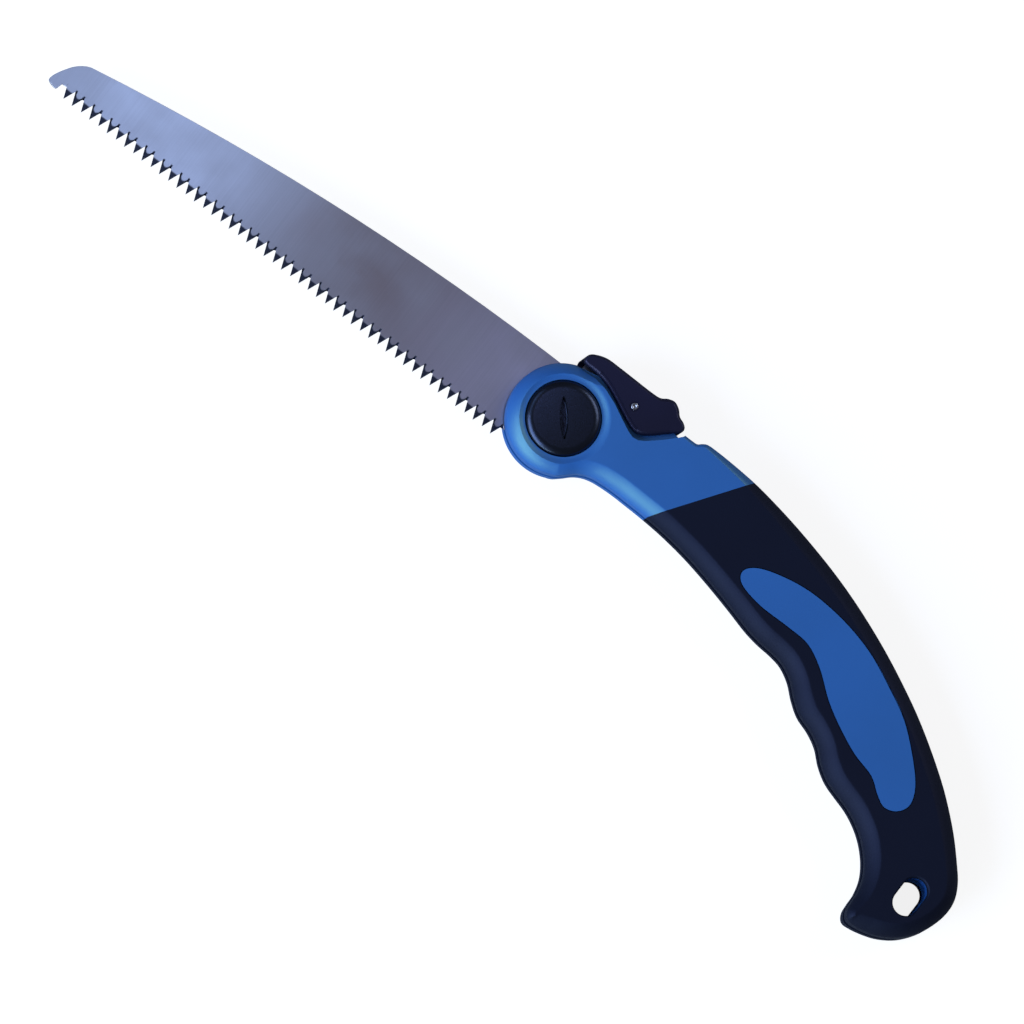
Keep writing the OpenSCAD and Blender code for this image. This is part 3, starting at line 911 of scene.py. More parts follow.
def slotted_hole(sides: int = 24) -> Outline:
    """The hanging hole's outline, with room for a flared rim.

    Args:
        sides: Points on each rounded end.

    Returns:
        The outline.
    """
    half, reach = HOLE_W / 2, (HOLE_L - HOLE_W) / 2
    points = []
    for centre, start in ((reach, 0.0), (-reach, math.pi)):
        for k in range(sides + 1):
            a = start + math.pi * k / sides
            points.append((HOLE[0] + half * math.cos(a), HOLE[1] + centre + half * math.sin(a), 0.0))
    return Outline(points)


def both_sides(rim: Sequence[Point]) -> list[Point]:
    """Heights and insets from the side that the saw lies on, and the same mirrored at its other side."""
    return [*rim, *((THICK - z, more) for z, more in reversed(rim))]


@dataclass(frozen=True)
class BladeRoom:
    """The space that the blade and pawl sweep, one slot wide, which the handle leaves open."""

    tang_gap: float = 0.6
    back_gap: float = 0.15
    corner: float = -0.4
    nose_gap: float = 0.9
    tooth_gap: float = 1.4
    heel_gap: float = 1.0
    channel_steps: int = 160
    pawl_span: Point = (-6.7, 3.0)
    pawl_foot: float = 0.1

    def channel(self) -> list[Point]:
        """The folded blade's channel: a sector cut off at the teeth.

        Returns:
            Its outline.
        """
        reach, teeth, heel = REACH + self.nose_gap, -TOOTH_LINE - self.tooth_gap, HEEL - self.heel_gap
        start = math.atan2(teeth, -math.sqrt(reach**2 - teeth**2)) + 2 * math.pi
        end = math.atan2(math.sqrt(reach**2 - heel**2), -heel)
        rim = [start + (end - start) * k / self.channel_steps for k in range(self.channel_steps + 1)]
        sector = [(reach * math.cos(a), reach * math.sin(a)) for a in reversed(rim)]
        return turn_round([*sector, (-heel, teeth)], FOLD)

    def tools(self) -> list[bpy.types.Object]:
        """Makes the room as tool solids.

        Returns:
            The tools for the tang, the open blade, the pawl and the folded blade.
        """
        low, high = MID - SLOT_W / 2, MID + SLOT_W / 2
        tang, back, corner = TANG_R + self.tang_gap, BACK_RISE + self.back_gap, self.corner
        swung = [(-FAR, -FAR), (HEEL, -FAR), (HEEL, corner), (corner, corner), (corner, back), (-FAR, back)]
        left, right = self.pawl_span
        pawl = [(left, self.pawl_foot), (right, self.pawl_foot), (right, FAR), (left, FAR)]
        return [
            post("room_tang", 0, 0, [(tang, low), (tang, high)], sides=128),
            slab("room_open", swung, low, high),
            slab("room_pawl", pawl, low, high),
            slab("room_folded", self.channel(), low, high),
        ]


# ---- handle --------------------------------------------------------------------------------------


@dataclass
class Handle:
    """The blue core with its round head, and the rubber moulded over it."""

    finishes: Finishes
    curve_steps: int = 5
    round_steps: int = 7
    rubber_t: float = 3.5
    rubber_cover: float = 0.66
    core_gap: float = 0.02
    core_run_on: float = 6.0
    # each knot's rounding is drawn this many times as wide
    soft: float = 1.15
    # the head's rim: its arc in degrees, its rounding, and how much of that it loses after its even points
    rim_span: Point = (97, 295)
    rim_steps: int = 88
    rim_even: int = 60
    rim_r: float = 4.6
    rim_loss: float = 0.7
    dish_steps: int = 8
    shank_room: Point = (5.05, 6)
    flange_room: Point = (8.8, 14)
    knob_floor: float = 17.1
    clip_room: tuple[float, float, float] = (8.5, 10.1, 3.2)
    nut_room: float = 7.74
    nut_span: Point = (1.7, 7)
    pin_room: float = 1.25
    lug_half: float = 6.5
    # height over the inlay's floor, or depth under the grip's side, and the inset there. The window's
    # outline runs clockwise, so its inlay widens and its opening narrows by a tenth of a millimetre
    # near the surface
    window_edge: tuple[Point, ...] = ((0.0, 0.02), (3.3, 0.02), (3.45, 0.05), (3.5, 0.12))
    window_lip: tuple[Point, ...] = ((-PAST, -0.4), (0, -0.14), (0.06, -0.05), (0.18, 0))
    hole_lip: tuple[Point, ...] = ((-PAST, -1.6), (0, -0.6), (0.2, -0.3), (0.6, 0))
    # outlines as x, y and edge rounding
    seam_low: Knot = (41.4, -8.1, 4.5)
    seam_high: Knot = (62.4, 22.4, 2.8)
    # what lies on the head's side of the seam
    head_side: tuple[Point, ...] = ((30, -40), (41.0, -8.6), (62.8, 23.06), (40, 40))
    # knots past the two ends of the rim's arc, which only steer the curves that join it
    rim_first: Knot = (0, 18.6, 3.0)
    rim_last: Knot = (2, -18.3, 4)
    neck: tuple[Knot, ...] = (
        (8.6, -16.4, 3.4), (11.6, -14.2, 3.4), (15.2, -10.8, 3.8), (19.8, -8.8, 4.2), (27, -8.05, 4.5),
        (34, -8.0, 4.5),
    )
    fingers: tuple[Knot, ...] = (
        (50, -8.6, 4.5), (60, -9.8, 4.5), (71, -11.9, 4.5), (81, -14.2, 4.5), (90, -16.5, 4.6),
        (96, -17.4, 4.6), (101, -17.7, 4.6), (106, -18.6, 4.6), (111, -21.2, 4.6), (115.7, -25.2, 4.8),
        (120.5, -28.3, 4.8), (126, -30.1, 4.6), (131, -32.7, 4.6), (135.6, -36.7, 4.8), (140.6, -39.7, 4.8),
        (146, -41.4, 4.6), (151, -42.8, 4.6), (156, -45.0, 4.6), (161, -48.3, 4.6), (165.5, -52.7, 4.4),
        (168.6, -57.4, 4.0), (170.1, -62.4, 3.6), (170.4, -66.6, 3.0), (170.9, -69.7, 2.4),
        (172.6, -71.9, 2.4), (175.2, -72.26, 3.4),
    )
    butt: tuple[Knot, ...] = (
        (180.1, -71.3, 4.2), (185.2, -69.3, 4.2), (190.3, -65.6, 4.0), (194.4, -60.2, 4.0),
        (196.6, -54.6, 4.0), (197.4, -49.4, 4.0), (196.7, -44.6, 4.0), (194.2, -39.8, 4.0),
        (190.4, -35.3, 4.0),
    )
    spine: tuple[Knot, ...] = (
        (184.2, -28.7, 4.3), (177.4, -22.6, 4.4), (170.3, -17.0, 4.5), (160.3, -10.3, 4.5),
        (150.4, -4.4, 4.5), (140.4, 0.7, 4.5), (130.4, 5.3, 4.5), (120.4, 9.3, 4.5), (110.4, 12.8, 4.5),
        (100.5, 15.7, 4.5), (90.5, 18.1, 4.5), (80.5, 20.1, 4.3), (71, 21.5, 3.6),
    )
    step: tuple[Knot, ...] = (
        (53, 22.8, 2.3), (46, 22.8, 1.8), (42.6, 22.5, 1.4), (40.9, 21.5, 1.0), (39.7, 20.5, 1.0),
        (37.6, 20.3, 1.0), (30, 20.3, 1.0), (18, 20.3, 1.0), (8, 19.4, 1.4),
    )
    window: tuple[Knot, ...] = (
        (76.4, -3.4, 0), (79.6, 0.4, 0), (87, 3.2, 0), (97, 5.0, 0), (107, 4.95, 0), (117, 3.6, 0),
        (127, 0.9, 0), (138, -4.0, 0), (148, -9.3, 0), (157.5, -17.2, 0), (164, -24.3, 0), (166.2, -30.2, 0),
        (164.2, -34.4, 0), (160, -36.1, 0), (155.8, -34.3, 0), (150.2, -30.5, 0), (141.5, -28.2, 0),
        (132, -24.0, 0), (124, -19.4, 0), (116, -13.3, 0), (108, -9.3, 0), (99.5, -8.8, 0), (88, -8.9, 0),
        (79, -7.1, 0),
    )
    # the recess beside the lug for the lever's two wings, and the lug's own top between them
    pocket: tuple[Point, ...] = (
        (-6.6, 16.9), (-3.8, 16.6), (0.2, 16.9), (5.2, 15.9), (10.2, 14.1), (15.2, 11.6), (19, 9.8),
        (21.5, 9.0), (23.6, 9.3), (25.6, 10.6), (28.2, 12.9), (31, 15.6), (33.5, 18.2), (34.7, 19.6),
        (34.9, 20.3), (34.9, 40), (-6.6, 40),
    )
    lug_top: tuple[Point, ...] = (
        (-6.6, 16.8), (0, 18.4), (3.2, 18.6), (9, 20.6), (20, 20.6), (27, 19.4), (34.1, 18.7), (34.9, 20.3),
        (34.9, 60), (-6.6, 60),
    )

    def seam_way(self) -> Point:
        """The direction along the seam, sized so that it rises by one."""
        run, rise = self.seam_high[0] - self.seam_low[0], self.seam_high[1] - self.seam_low[1]
        return run / rise, 1.0

    def softened(self, points: Sequence[Knot]) -> list[Knot]:
        """The points with a wider rounding than their knots name."""
        return [(x, y, r * self.soft) for x, y, r in points]

    def grip_outline(self) -> Outline:
        """The rubber grip's outline from the seam round the butt and back.

        Returns:
            The outline.
        """
        knots = [self.neck[-1], self.seam_low, *self.fingers, *self.butt, *self.spine, self.seam_high]
        points = self.softened(open_curve([*knots, self.step[0]], self.curve_steps))
        way, outline = self.seam_way(), Outline(points)
        outline.lean(0, 1, way)
        outline.lean(len(points) - 1, -1, (-way[0], -way[1]))
        return outline

    def head_outline(self) -> Outline:
        """The outline of the round head and the neck, up to the seam.

        Returns:
            The outline.
        """
        back = open_curve([self.spine[-1], self.seam_high, *self.step, self.rim_first], self.curve_steps)
        fading = self.rim_steps - self.rim_even
        rim = [
            (x, y, self.rim_r - self.rim_loss * max(k - self.rim_even, 0) / fading)
            for k, (x, y) in enumerate(arc(HEAD_R, *self.rim_span, self.rim_steps))
        ]
        front = open_curve([self.rim_last, *self.neck, self.seam_low, self.fingers[0]], self.curve_steps)
        way, outline = self.seam_way(), Outline([*self.softened(back), *rim, *self.softened(front)])
        outline.lean(0, 1, (-way[0], -way[1]))
        outline.lean(len(outline.points) - 1, -1, way)
        return outline

    def window_outline(self) -> Outline:
        """The outline of the blue window in the rubber."""
        return Outline(closed_curve(self.window, self.curve_steps))

    def core_outline(self, grip: Outline) -> list[Point]:
        """The core's outline inside the rubber, run on into the head.

        Args:
            grip: The grip's outline.

        Returns:
            The points of the core's outline.
        """
        rim, more = grip.inset(self.rubber_cover), self.core_run_on

        def run_on(start: Point, end: Point) -> Point:
            """The end of a line, run on."""
            size = math.dist(start, end)
            return end[0] + more * (end[0] - start[0]) / size, end[1] + more * (end[1] - start[1]) / size

        return [run_on(rim[1], rim[0]), *rim[1:-1], run_on(rim[-2], rim[-1])]

    def pivot_room(self) -> bpy.types.Object:
        """The stepped room of the tension screw, with the dish round the knob.

        Returns:
            The tool solid.
        """
        wall, slope = KNOB_R + SEAT_GAP, DISH_W / DISH_D
        dish = []
        # a shallow cove that rolls into the flat side
        for k in range(self.dish_steps + 1):
            t = k / self.dish_steps
            dish.append((wall + DISH_W * t, THICK - DISH_D + DISH_D * (t * t * (3 - 2 * t))))
        (shank_r, shank_z), (flange_r, flange_z) = self.shank_room, self.flange_room
        steps = [
            (0, shank_z), (shank_r, shank_z), (shank_r, flange_z), (flange_r, flange_z),
            (flange_r, self.knob_floor), (wall, self.knob_floor),
        ]
        rim = [(wall + DISH_W + slope, THICK + PAST), (0, THICK + PAST)]
        return turned("pivot_room", [*steps, *dish, *rim])

    def cover_room(self) -> bpy.types.Object:
        """The recess of the nut's cover, with the dish round it.

        Returns:
            The tool solid.
        """
        wall, slope = KNOB_R + SEAT_GAP, DISH_W / DISH_D
        clip_in, clip_out, clip_top = self.clip_room
        profile = [
            (0, -PAST), (wall + DISH_W + slope, -PAST), (wall + DISH_W, 0), (wall, DISH_D), (wall, CAP_T),
            (clip_out, CAP_T), (clip_out, clip_top), (clip_in, clip_top), (clip_in, CAP_T), (0, CAP_T),
        ]
        return turned("cover_room", profile)

    def head(self, room: Sequence[bpy.types.Object]) -> bpy.types.Object:
        """The round head and neck in blue.

        Args:
            room: Tool solids of the blade's room.

        Returns:
            The piece.
        """
        piece = loft("blue_head_and_neck", self.head_outline().rounded(0, THICK, self.round_steps))
        for tool in room:
            cut(piece, tool, keep_tool=True)
        low, high = MID - self.lug_half, MID + self.lug_half
        cut(piece, slab("lever_room", self.lug_top, low, high))
        cut(piece, slab("lever_recess_knob_side", self.pocket, high, THICK + PAST))
        cut(piece, slab("lever_recess_nut_side", self.pocket, -PAST, low))
        cut(piece, self.pivot_room())
        cut(piece, self.cover_room())
        cut(piece, post("nut_pocket", 0, 0, [(self.nut_room, z) for z in self.nut_span], sides=6))
        cut(piece, post("pin_hole", *PIN, [(self.pin_room, -PAST), (self.pin_room, THICK + PAST)], sides=32))
        smooth(piece)
        return piece

    def inner(self, grip: Outline, room: Sequence[bpy.types.Object]) -> bpy.types.Object:
        """The core inside the rubber, which shows in the hanging hole and the blade's channel.

        Args:
            grip: The grip's outline.
            room: Tool solids of the blade's room.

        Returns:
            The piece.
        """
        skin = self.rubber_t + self.core_gap
        piece = slab("blue_core_in_grip", self.core_outline(grip), skin, THICK - skin)
        cut(piece, slab("head_side", self.head_side, -PAST, THICK + PAST))
        for tool in room:
            cut(piece, tool, keep_tool=True)
        cut(piece, loft("hole", slotted_hole().straight([(-PAST, 0), (THICK + PAST, 0)])))
        smooth(piece)
        return piece

    def inlay(self, name: str, upper: bool) -> bpy.types.Object:
        """The blue window on one side, with a softened edge.

        Args:
            name: The piece's name.
            upper: Whether it is on the knob's side.

        Returns:
            The piece.
        """
        heights = [(THICK - self.rubber_t + z, more) for z, more in self.window_edge]
        if not upper:
            heights = [(THICK - z, more) for z, more in reversed(heights)]
        piece = loft(name, self.window_outline().straight(heights))
        smooth(piece, angle=40)
        return piece

    def grip(self, outline: Outline, room: Sequence[bpy.types.Object]) -> bpy.types.Object:
        """The rubber grip with its finger grooves, hook and hanging hole.

        Args:
            outline: The grip's outline.
            room: Tool solids of the blade's room.

        Returns:
            The piece.
        """
        piece = loft("rubber_grip", outline.rounded(0, THICK, self.round_steps))
        cut(piece, slab("core", self.core_outline(outline), self.rubber_t, THICK - self.rubber_t))
        # the window's lip closes on the inlay, and the hanging hole's rolls outwards
        cut(piece, loft("window", self.window_outline().straight(both_sides(self.window_lip))))
        cut(piece, loft("hole", slotted_hole().straight(both_sides(self.hole_lip))))
        for tool in room:
            cut(piece, tool, keep_tool=True)
        smooth(piece)
        return piece

    def build(self) -> None:
        """Makes and seats every piece of the handle."""
        room = BladeRoom().tools()
        outline = self.grip_outline()
        blue, black = self.finishes.core, self.finishes.rubber
        seat(self.head(room), Body.HANDLE, Slot.CORE, blue, "handle_core")
        seat(self.inner(outline, room), Body.HANDLE, Slot.CORE, blue)
        seat(self.inlay("blue_window_knob_side", True), Body.HANDLE, Slot.CORE, blue)
        seat(self.inlay("blue_window_nut_side", False), Body.HANDLE, Slot.CORE, blue)
        seat(self.grip(outline, room), Body.HANDLE, Slot.GRIP, black, "grip_overmould")
        for tool in room:
            bpy.data.objects.remove(tool, do_unlink=True)


# ---- blade ---------------------------------------------------------------------------------------


@dataclass
class Blade:
    """The toothed blade, from the CAD solid with its edges broken and its flanks ground."""

    finishes: Finishes
    edge_mm: float = 0.07
    # a ground flank leans, so that this much of its normal points up or down
    flank_upright: Point = (0.15, 0.985)
    # angles in degrees between faces: within which they merge, and past which an edge is broken or crisp
    flat: float = 0.5
    broken: float = 40.0
    crisp: float = 25.0

    def build(self) -> None:
        """Makes and seats the blade."""
        node = frame["nodes"]["saw_blade"]
        pick(node)
        bpy.ops.object.duplicate()
        piece = bpy.context.object
        piece.parent = None
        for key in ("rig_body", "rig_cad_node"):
            if key in piece:
                del piece[key]
        piece.name = piece.data.name = "toothed_blade"
        piece.data.materials.clear()
        for finish in (self.finishes.blade, self.finishes.ground):
            piece.data.materials.append(finish)
        pick(piece)
        bpy.ops.object.mode_set(mode="EDIT")
        bpy.ops.mesh.select_all(action="SELECT")
        bpy.ops.mesh.remove_doubles(threshold=NEW_MERGE)
        bpy.ops.mesh.dissolve_limited(angle_limit=math.radians(self.flat))
        bpy.ops.mesh.select_all(action="DESELECT")
        bpy.ops.object.mode_set(mode="OBJECT")
        steep, level = self.flank_upright
        for face in piece.data.polygons:
            face.material_index = int(steep < abs(face.normal.z) < level)
        apply_modifier(
            piece, "BEVEL", width=self.edge_mm * MM, segments=1, limit_method="ANGLE",
            angle_limit=math.radians(self.broken), use_clamp_overlap=True, material=0,
        )
        smooth(piece, angle=self.crisp)
        seat(piece, Body.BLADE, Slot.BLADE, self.finishes.blade, "saw_blade")


# ---- pivot ---------------------------------------------------------------------------------------


@dataclass
class Pivot:
    """The tension screw with its coin-slot knob, and the fittings round it."""

    finishes: Finishes
    top: float = THICK + 0.6
    floor: float = 17.4
    knob_foot: float = 0.4
    # the knob's rolled rim: how far below its top and how far in from its side
    knob_rim: tuple[Point, ...] = (
        (0, 2.8), (0.05, 2.2), (0.15, 1.75), (0.3, 1.3), (0.52, 0.88), (0.8, 0.5), (1.1, 0.25), (1.5, 0.07),
        (1.9, 0),
    )
    coin_l: float = 14.0
    coin_w: float = 2.4
    coin_d: float = 1.5
    coin_turn: float = -52.0
    coin_steps: int = 20
    # the coin slot's walls: height over its floor or over the knob's top, and how far they are drawn in
    coin_floor: tuple[Point, ...] = ((0, 0.25), (0.15, 0.05))
    coin_lip: tuple[Point, ...] = ((-0.25, 0), (0, -0.2), (1, -1.0))
    # the cap's rim, as how far in from its side and its height, and the ring that clips it in
    cap_rim: tuple[Point, ...] = ((2.0, 0.0), (1.3, 0.08), (0.6, 0.3), (0.2, 0.6), (0, 0.9))
    clip_in: float = 8.6
    clip_out: float = 10.0
    clip_top: float = 3.0

    def coin_slot(self) -> bpy.types.Object:
        """The lens-shaped room for a coin's edge.

        Returns:
            The tool solid.
        """
        bow = (self.coin_l**2 / 4 + self.coin_w**2 / 4) / self.coin_w
        half = math.degrees(math.asin(self.coin_l / 2 / bow))
        points = []
        for side in (-1, 1):
            for k in range(self.coin_steps):
                a = math.radians(-half + 2 * half * k / self.coin_steps) * -side
                points.append((bow * math.sin(a), side * (bow * math.cos(a) - (bow - self.coin_w / 2))))
        lens = Outline([(x, y, 0.0) for x, y in turn_round(points, self.coin_turn)])
        walls = [(self.top - self.coin_d + z, more) for z, more in self.coin_floor]
        walls += [(self.top + z, more) for z, more in self.coin_lip]
        return loft("coin_slot", lens.straight(walls))

    def knob(self) -> bpy.types.Object:
        """The knob with a rolled rim and a lens-shaped coin slot.

        Returns:
            The piece.
        """
        foot = self.knob_foot
        profile = [(0.0, self.floor), (KNOB_R - foot, self.floor), (KNOB_R, self.floor + foot)]
        profile += [(KNOB_R - inset, self.top - drop) for drop, inset in reversed(self.knob_rim)]
        piece = turned("coin_slot_knob", [*profile, (0.0, self.top)])
        cut(piece, self.coin_slot())
        smooth(piece, angle=40)
        return piece

    def cover(self) -> bpy.types.Object:
        """The cap over the nut, flush with the head's side.

        Returns:
            The piece.
        """
        rim = [(KNOB_R - inset, z) for inset, z in self.cap_rim]
        clip = [
            (self.clip_out, CAP_T), (self.clip_out, self.clip_top), (self.clip_in, self.clip_top),
            (self.clip_in, CAP_T),
        ]
        piece = turned("nut_cap", [(0.0, 0.0), *rim, (KNOB_R, CAP_T), *clip, (0.0, CAP_T)])
        smooth(piece)
        return piece

    def build(self) -> None:
        """Makes and seats the knob and cap, and dresses the steel fittings."""
        seat(self.knob(), Body.SCREW, Slot.BLACK, self.finishes.knob, "pivot_knob")
        seat(self.cover(), Body.HANDLE, Slot.BLACK, self.finishes.knob, "nut_cover")
        fittings = (
            "pivot_bolt", "pivot_nut", "pivot_sleeve",
            "spring_washer", "blade_washer_front", "blade_washer_back",
        )
        for name in fittings:
            dress(name, self.finishes.plated)


def dress(name: str, finish: bpy.types.Material) -> None:
    """Gives a CAD node that stays its finish.

    Args:
        name: The node's name.
        finish: Its material.
    """
    node = frame["nodes"][name]
    for place in node.material_slots:
        place.material = finish
    if not node.material_slots:
        node.data.materials.append(finish)
    log.info("%s: dressed", name)


# ---- lock ----------------------------------------------------------------------------------------


@dataclass
class Lock:
    """The top lever with its pin, pawl and spring."""

    finishes: Finishes
    half: float = 6.8
    knot_steps: int = 5
    round_steps: int = 5
    # the step along the wings' lower edge: how wide, how deep, and between which points of the outline
    ledge_mm: float = 1.5
    ledge_drop: float = 0.35
    ledge_span: tuple[int, int] = (8, 38)
    ledge_past: float = 4.0
    pin_room: float = 1.3
    pin_dish_r: float = 1.75
    pin_dish_d: float = 0.22
    pin_short: float = 0.2
    # the pin's end: radius and depth below its tip
    pin_end: tuple[Point, ...] = ((0.35, 0.3), (0.55, 0.05), (0.95, 0), (1.15, 0.08), (1.25, 0.3))
    spring_x: float = 27.0
    spring_span: Point = (13.4, 22.0)
    spring_gap: float = 0.05
    wire_r: float = 0.3
    wire_sides: int = 10
    coil_r: float = 1.9
    coils: float = 5.5
    coil_steps: int = 24
    cavity: tuple[Point, ...] = (
        (-20, 0), (60, 0), (60, 20.9), (33, 20.9), (30, 22), (4.5, 22), (4.5, 20.3), (-20, 20.3),
    )
    # the lever's outline as x, y and edge rounding, counter-clockwise from its nose
    knots: tuple[Knot, ...] = (
        (-5.4, 18.9, 0.7), (-2, 18.7, 0.9), (2, 18.3, 1.2), (6, 17.1, 1.2), (10, 15.4, 1.2), (14, 13.5, 1.2),
        (17.5, 12.0, 1.2), (20.2, 11.2, 1.1), (22.4, 11.3, 1.1), (24.8, 12.5, 1.2), (27.6, 14.9, 1.2),
        (30, 17.3, 1.1), (32.1, 19.2, 0.9), (33.4, 20.5, 0.8), (33.3, 22.0, 0.8), (31.9, 23.2, 0.9),
        (29.8, 24.1, 1.1), (28.0, 25.9, 1.2), (25.6, 27.0, 1.2), (23.2, 26.4, 1.2), (20.9, 25.0, 1.2),
        (17, 24.7, 1.2), (11, 24.7, 1.2), (5, 24.7, 1.2), (-0.5, 24.5, 1.1), (-4.5, 23.0, 0.9),
        (-6.1, 21.5, 0.7), (-6.2, 20.0, 0.6),
    )

    def cut_sides(self, piece: bpy.types.Object, outline: Sequence[Point], depth: float) -> None:
        """Cuts an outline into both sides of the lever.

        Args:
            piece: The lever.
            outline: The outline.
            depth: How deep it goes.
        """
        for low, high in ((THICK - LEVER_LOW - depth, THICK + PAST), (-PAST, LEVER_LOW + depth)):
            cut(piece, slab("side_cut", outline, low, high))

    def lever(self) -> bpy.types.Object:
        """The lever's moulded shell over the lug.

        Returns:
            The piece.
        """
        outline = Outline(closed_curve(self.knots, self.knot_steps))
        piece = loft("lock_lever_shell", outline.rounded(LEVER_LOW, THICK - LEVER_LOW, self.round_steps))
        cut(piece, slab("lug_room", self.cavity, MID - self.half, MID + self.half))
        self.cut_sides(piece, circle(*PIN, self.pin_dish_r, sides=40), self.pin_dish_d)
        cut(piece, post("pin_hole", *PIN, [(self.pin_room, -PAST), (self.pin_room, THICK + PAST)], sides=32))
        first, last = self.ledge_span
        inner, outer = outline.inset(0, self.ledge_mm), outline.inset(0, -self.ledge_past)
        self.cut_sides(piece, [*outer[first:last], *reversed(inner[first:last])], self.ledge_drop)
        smooth(piece, angle=36)
        return piece

    def pin(self) -> bpy.types.Object:
        """The steel pin with a dimple at each end.

        Returns:
            The piece.
        """
        low, high = LEVER_LOW + self.pin_short, THICK - LEVER_LOW - self.pin_short
        rings = [(r, low + z) for r, z in self.pin_end]
        rings += [(r, low + high - z) for r, z in reversed(rings)]
        piece = post("lever_pin", *PIN, rings, sides=32)
        smooth(piece, angle=50)
        return piece

    def spring(self) -> bpy.types.Object:
        """The lever's compression spring as a round wire on a helix.

        Returns:
            The piece.
        """
        foot, head = self.spring_span
        low, high = foot + self.wire_r + self.spring_gap, head - self.wire_r - self.spring_gap
        steps = int(self.coils * self.coil_steps)
        rings = []
        for k in range(steps + 1):
            a = 2 * math.pi * k / self.coil_steps
            rise = low + (high - low) * k / steps
            ring = []
            for side in range(self.wire_sides):
                b = -2 * math.pi * side / self.wire_sides
                out, up = self.coil_r + self.wire_r * math.cos(b), self.wire_r * math.sin(b)
                ring.append((self.spring_x + out * math.cos(a), rise + up, MID - out * math.sin(a)))
            rings.append(ring)
        piece = loft("lever_spring", rings)
        smooth(piece, angle=50)
        return piece

    def build(self) -> None:
        """Makes and seats the lever, pin and spring, and dresses the pawl."""
        seat(self.lever(), Body.LEVER, Slot.BLACK, self.finishes.black, "lock_lever")
        seat(self.pin(), Body.HANDLE, Slot.FITTINGS, self.finishes.plated, "lock_pin")
        seat(self.spring(), Body.HANDLE, Slot.FITTINGS, self.finishes.plated, "lock_spring")
        dress("lock_pawl", self.finishes.plated)


# ---- studio --------------------------------------------------------------------------------------


@dataclass(frozen=True)
class Lamp:
    """A soft box, in metres and watts, aimed at a point."""

    name: str
    place: tuple[float, float, float]
    aim: tuple[float, float, float]
    size: tuple[float, float]
    watts: float
    colour: str

    def make(self) -> None:
        """Hangs the soft box."""
        deselect()
        bpy.ops.object.light_add(type="AREA", location=self.place)
        lamp = bpy.context.object
        lamp.name = self.name
        lamp.data.shape = "RECTANGLE"
        lamp.data.size, lamp.data.size_y = self.size
        lamp.data.energy = self.watts
        lamp.data.color = linear(self.colour)[:3]
        lamp.visible_camera = False
        way = Vector(self.aim) - Vector(self.place)
        lamp.rotation_euler = way.to_track_quat("-Z", "Y").to_euler()


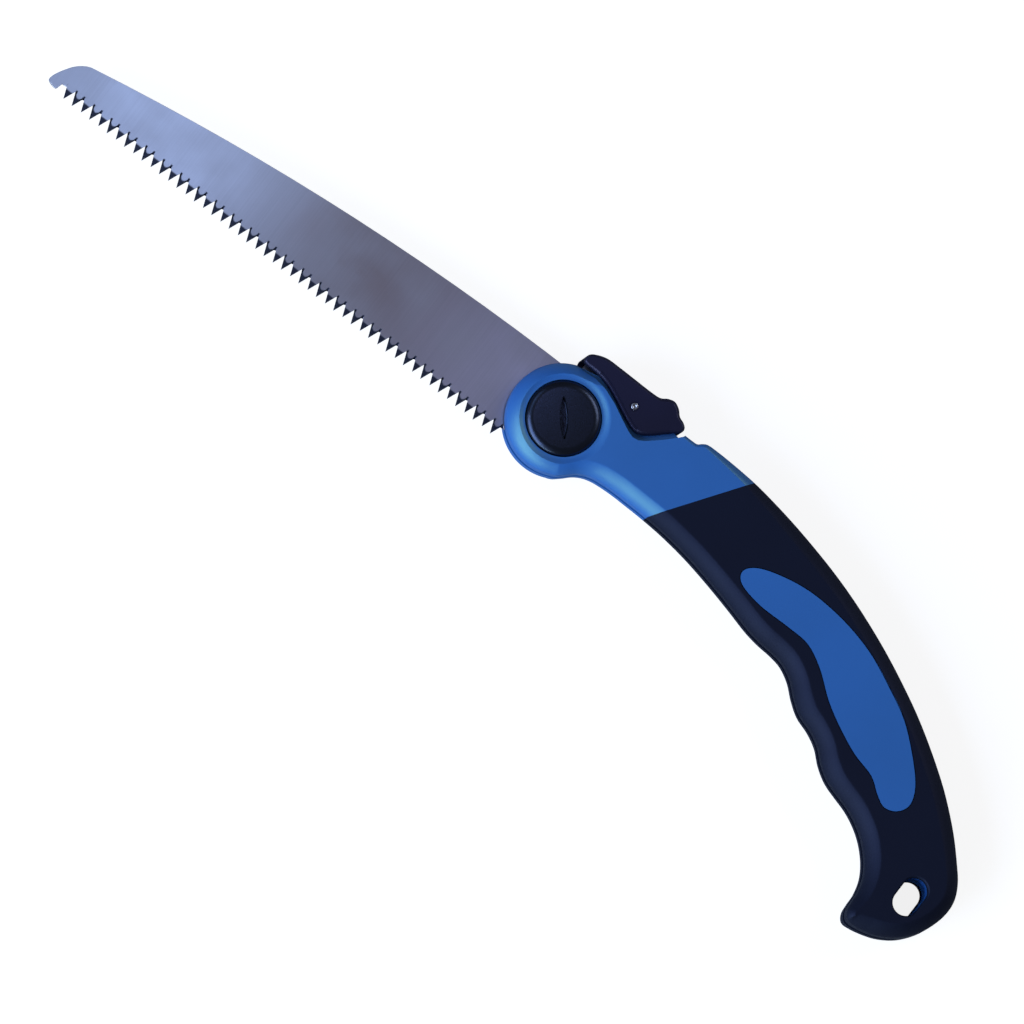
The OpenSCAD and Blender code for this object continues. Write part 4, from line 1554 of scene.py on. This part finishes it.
@dataclass
class Studio:
    """The pale floor, the soft boxes, the sky and the camera."""

    # how the camera leans from upright, its distance in metres, and the width that it sees at the saw
    lean: Point = (-0.0500, -0.1630)
    away: float = 12.0
    frame_mm: float = 332.8
    film_mm: float = 36.0
    clip_m: Point = (0.1, 100.0)
    pixels: int = 1024
    # where the pivot's upper end stands in the frame, and how the saw's own axes lie in it
    pivot_px: Point = (563.9, 418.0)
    pivot_z: float = 20.0
    right_px: Point = (0.7875, 0.6163)
    up_px: Point = (0.6163, -0.7875)
    # greys of the paper: what lights the saw, and what the camera sees beside the glow that makes it white
    floor_m: float = 30.0
    paper: float = 0.4
    seen_paper: float = 0.3
    seen_glow: float = 0.86
    sky_colour: str = "#ebe6e9"
    sky_glow: float = 0.1
    lamps: tuple[Lamp, ...] = (
        # the main light, large and blue-white
        Lamp("soft_box_front", (-0.62, -1.05, 0.86), (0.05, 0, 0), (1.4, 0.9), 29.5, "#b3cbf3"),
        # long and low, for the gleam on the edges that face the teeth's side
        Lamp("soft_box_low", (-0.2, -1.42, 0.36), (0.05, 0, 0), (1.6, 0.36), 16.0, "#c4dadc"),
        # a weaker light from behind, for the lever's and the grip's upper edges
        Lamp("soft_box_behind", (0.7, 1.3, 1.1), (0.05, 0, 0), (1.0, 0.7), 9.0, "#eef3ff"),
        # three small, very weak boxes over the blade, which the ground steel mirrors as soft bright areas
        Lamp("soft_box_nose", (-0.16, 0.021, 0.16), (-0.168, -0.005, 0.01), (0.084, 0.09), 0.052, "#accbf4"),
        Lamp("soft_box_blade", (-0.1, 0.055, 0.32), (-0.11, 0, 0.01), (0.2, 0.05), 0.008, "#ffdfe2"),
        Lamp("soft_box_heel", (-0.018, 0.026, 0.17), (-0.026, 0, 0.01), (0.022, 0.04), 0.0064, "#b8c8ff"),
    )

    def camera(self) -> None:
        """Stands the camera far off over the saw, with a long lens."""
        lx, ly = self.lean
        towards = Vector((lx, ly, math.sqrt(1 - lx * lx - ly * ly)))
        along = (Vector((1, 0, 0)) - towards * lx).normalized()
        aside = towards.cross(along)
        right = along * self.right_px[0] + aside * self.up_px[0]
        down = along * self.right_px[1] + aside * self.up_px[1]
        scale = self.frame_mm / self.pixels * MM
        dx, dy = (self.pixels / 2 - self.pivot_px[0]) * scale, (self.pixels / 2 - self.pivot_px[1]) * scale
        aim = Vector((0, 0, self.pivot_z * MM)) + right * dx + down * dy
        deselect()
        bpy.ops.object.camera_add(location=aim + towards * self.away)
        camera = bpy.context.object
        camera.name = "studio_camera"
        camera.rotation_mode = "QUATERNION"
        turn = Matrix((right, -down, towards)).transposed()
        camera.rotation_quaternion = turn.to_quaternion()
        camera.data.sensor_width = self.film_mm
        camera.data.lens = self.film_mm * self.away / (self.frame_mm * MM)
        camera.data.clip_start, camera.data.clip_end = self.clip_m
        camera.data.dof.use_dof = False
        bpy.context.scene.camera = camera

    def floor(self) -> None:
        """Lays the pale floor, which shows as white with the saw's shadow on it."""
        deselect()
        bpy.ops.mesh.primitive_plane_add(size=self.floor_m, location=(0, 0, 0))
        floor = bpy.context.object
        floor.name = "studio_floor"
        material = bpy.data.materials.new("pale_studio_paper")
        material.use_nodes = True
        tree = material.node_tree
        tree.nodes.clear()
        rays = add_node(tree, "LightPath")
        paper = add_node(tree, "BsdfDiffuse", {"Color": (*[self.paper] * 3, 1)})
        thin = add_node(tree, "BsdfDiffuse", {"Color": (*[self.seen_paper] * 3, 1)})
        glow = add_node(tree, "Emission", {"Color": (1, 1, 1, 1), "Strength": self.seen_glow})
        bright = add_node(tree, "AddShader", {0: thin.outputs["BSDF"], 1: glow.outputs["Emission"]})
        # only the camera sees the glow; the steel mirrors the plain paper
        sides = {0: rays.outputs["Is Camera Ray"], 1: paper.outputs["BSDF"], 2: bright.outputs["Shader"]}
        both = add_node(tree, "MixShader", sides)
        add_node(tree, "OutputMaterial", {"Surface": both.outputs["Shader"]})
        floor.data.materials.append(material)

    def sky(self) -> None:
        """A plain soft light all round, seen as white."""
        world = bpy.data.worlds.new("studio_sky")
        bpy.context.scene.world = world
        world.use_nodes = True
        tree = world.node_tree
        tree.nodes.clear()
        rays = add_node(tree, "LightPath")
        through = {0: rays.outputs["Is Camera Ray"], 1: rays.outputs["Is Transmission Ray"]}
        seen = add_node(tree, "Math", through, operation="MAXIMUM")
        soft = add_node(tree, "Background", {"Color": linear(self.sky_colour), "Strength": self.sky_glow})
        white = add_node(tree, "Background", {"Color": (1, 1, 1, 1), "Strength": 1.0})
        sides = {0: seen.outputs["Value"], 1: soft.outputs["Background"], 2: white.outputs["Background"]}
        both = add_node(tree, "MixShader", sides)
        add_node(tree, "OutputWorld", {"Surface": both.outputs["Shader"]})

    def build(self) -> None:
        """Sets up the studio."""
        self.camera()
        self.floor()
        self.sky()
        for lamp in self.lamps:
            lamp.make()
        view = bpy.context.scene.view_settings
        view.view_transform = "Standard"


# ---- whole ---------------------------------------------------------------------------------------


def main() -> None:
    """Builds the studio and the saw, sub-assembly by sub-assembly."""
    logging.basicConfig(level=logging.INFO, format="%(name)s %(message)s")
    Studio().build()
    finishes = Finishes.make()
    parts: list[Callable[[], None]] = [
        Handle(finishes).build,
        Blade(finishes).build,
        Pivot(finishes).build,
        Lock(finishes).build,
    ]
    for build in parts:
        build()
    deselect()


if __name__ == "__main__":
    main()
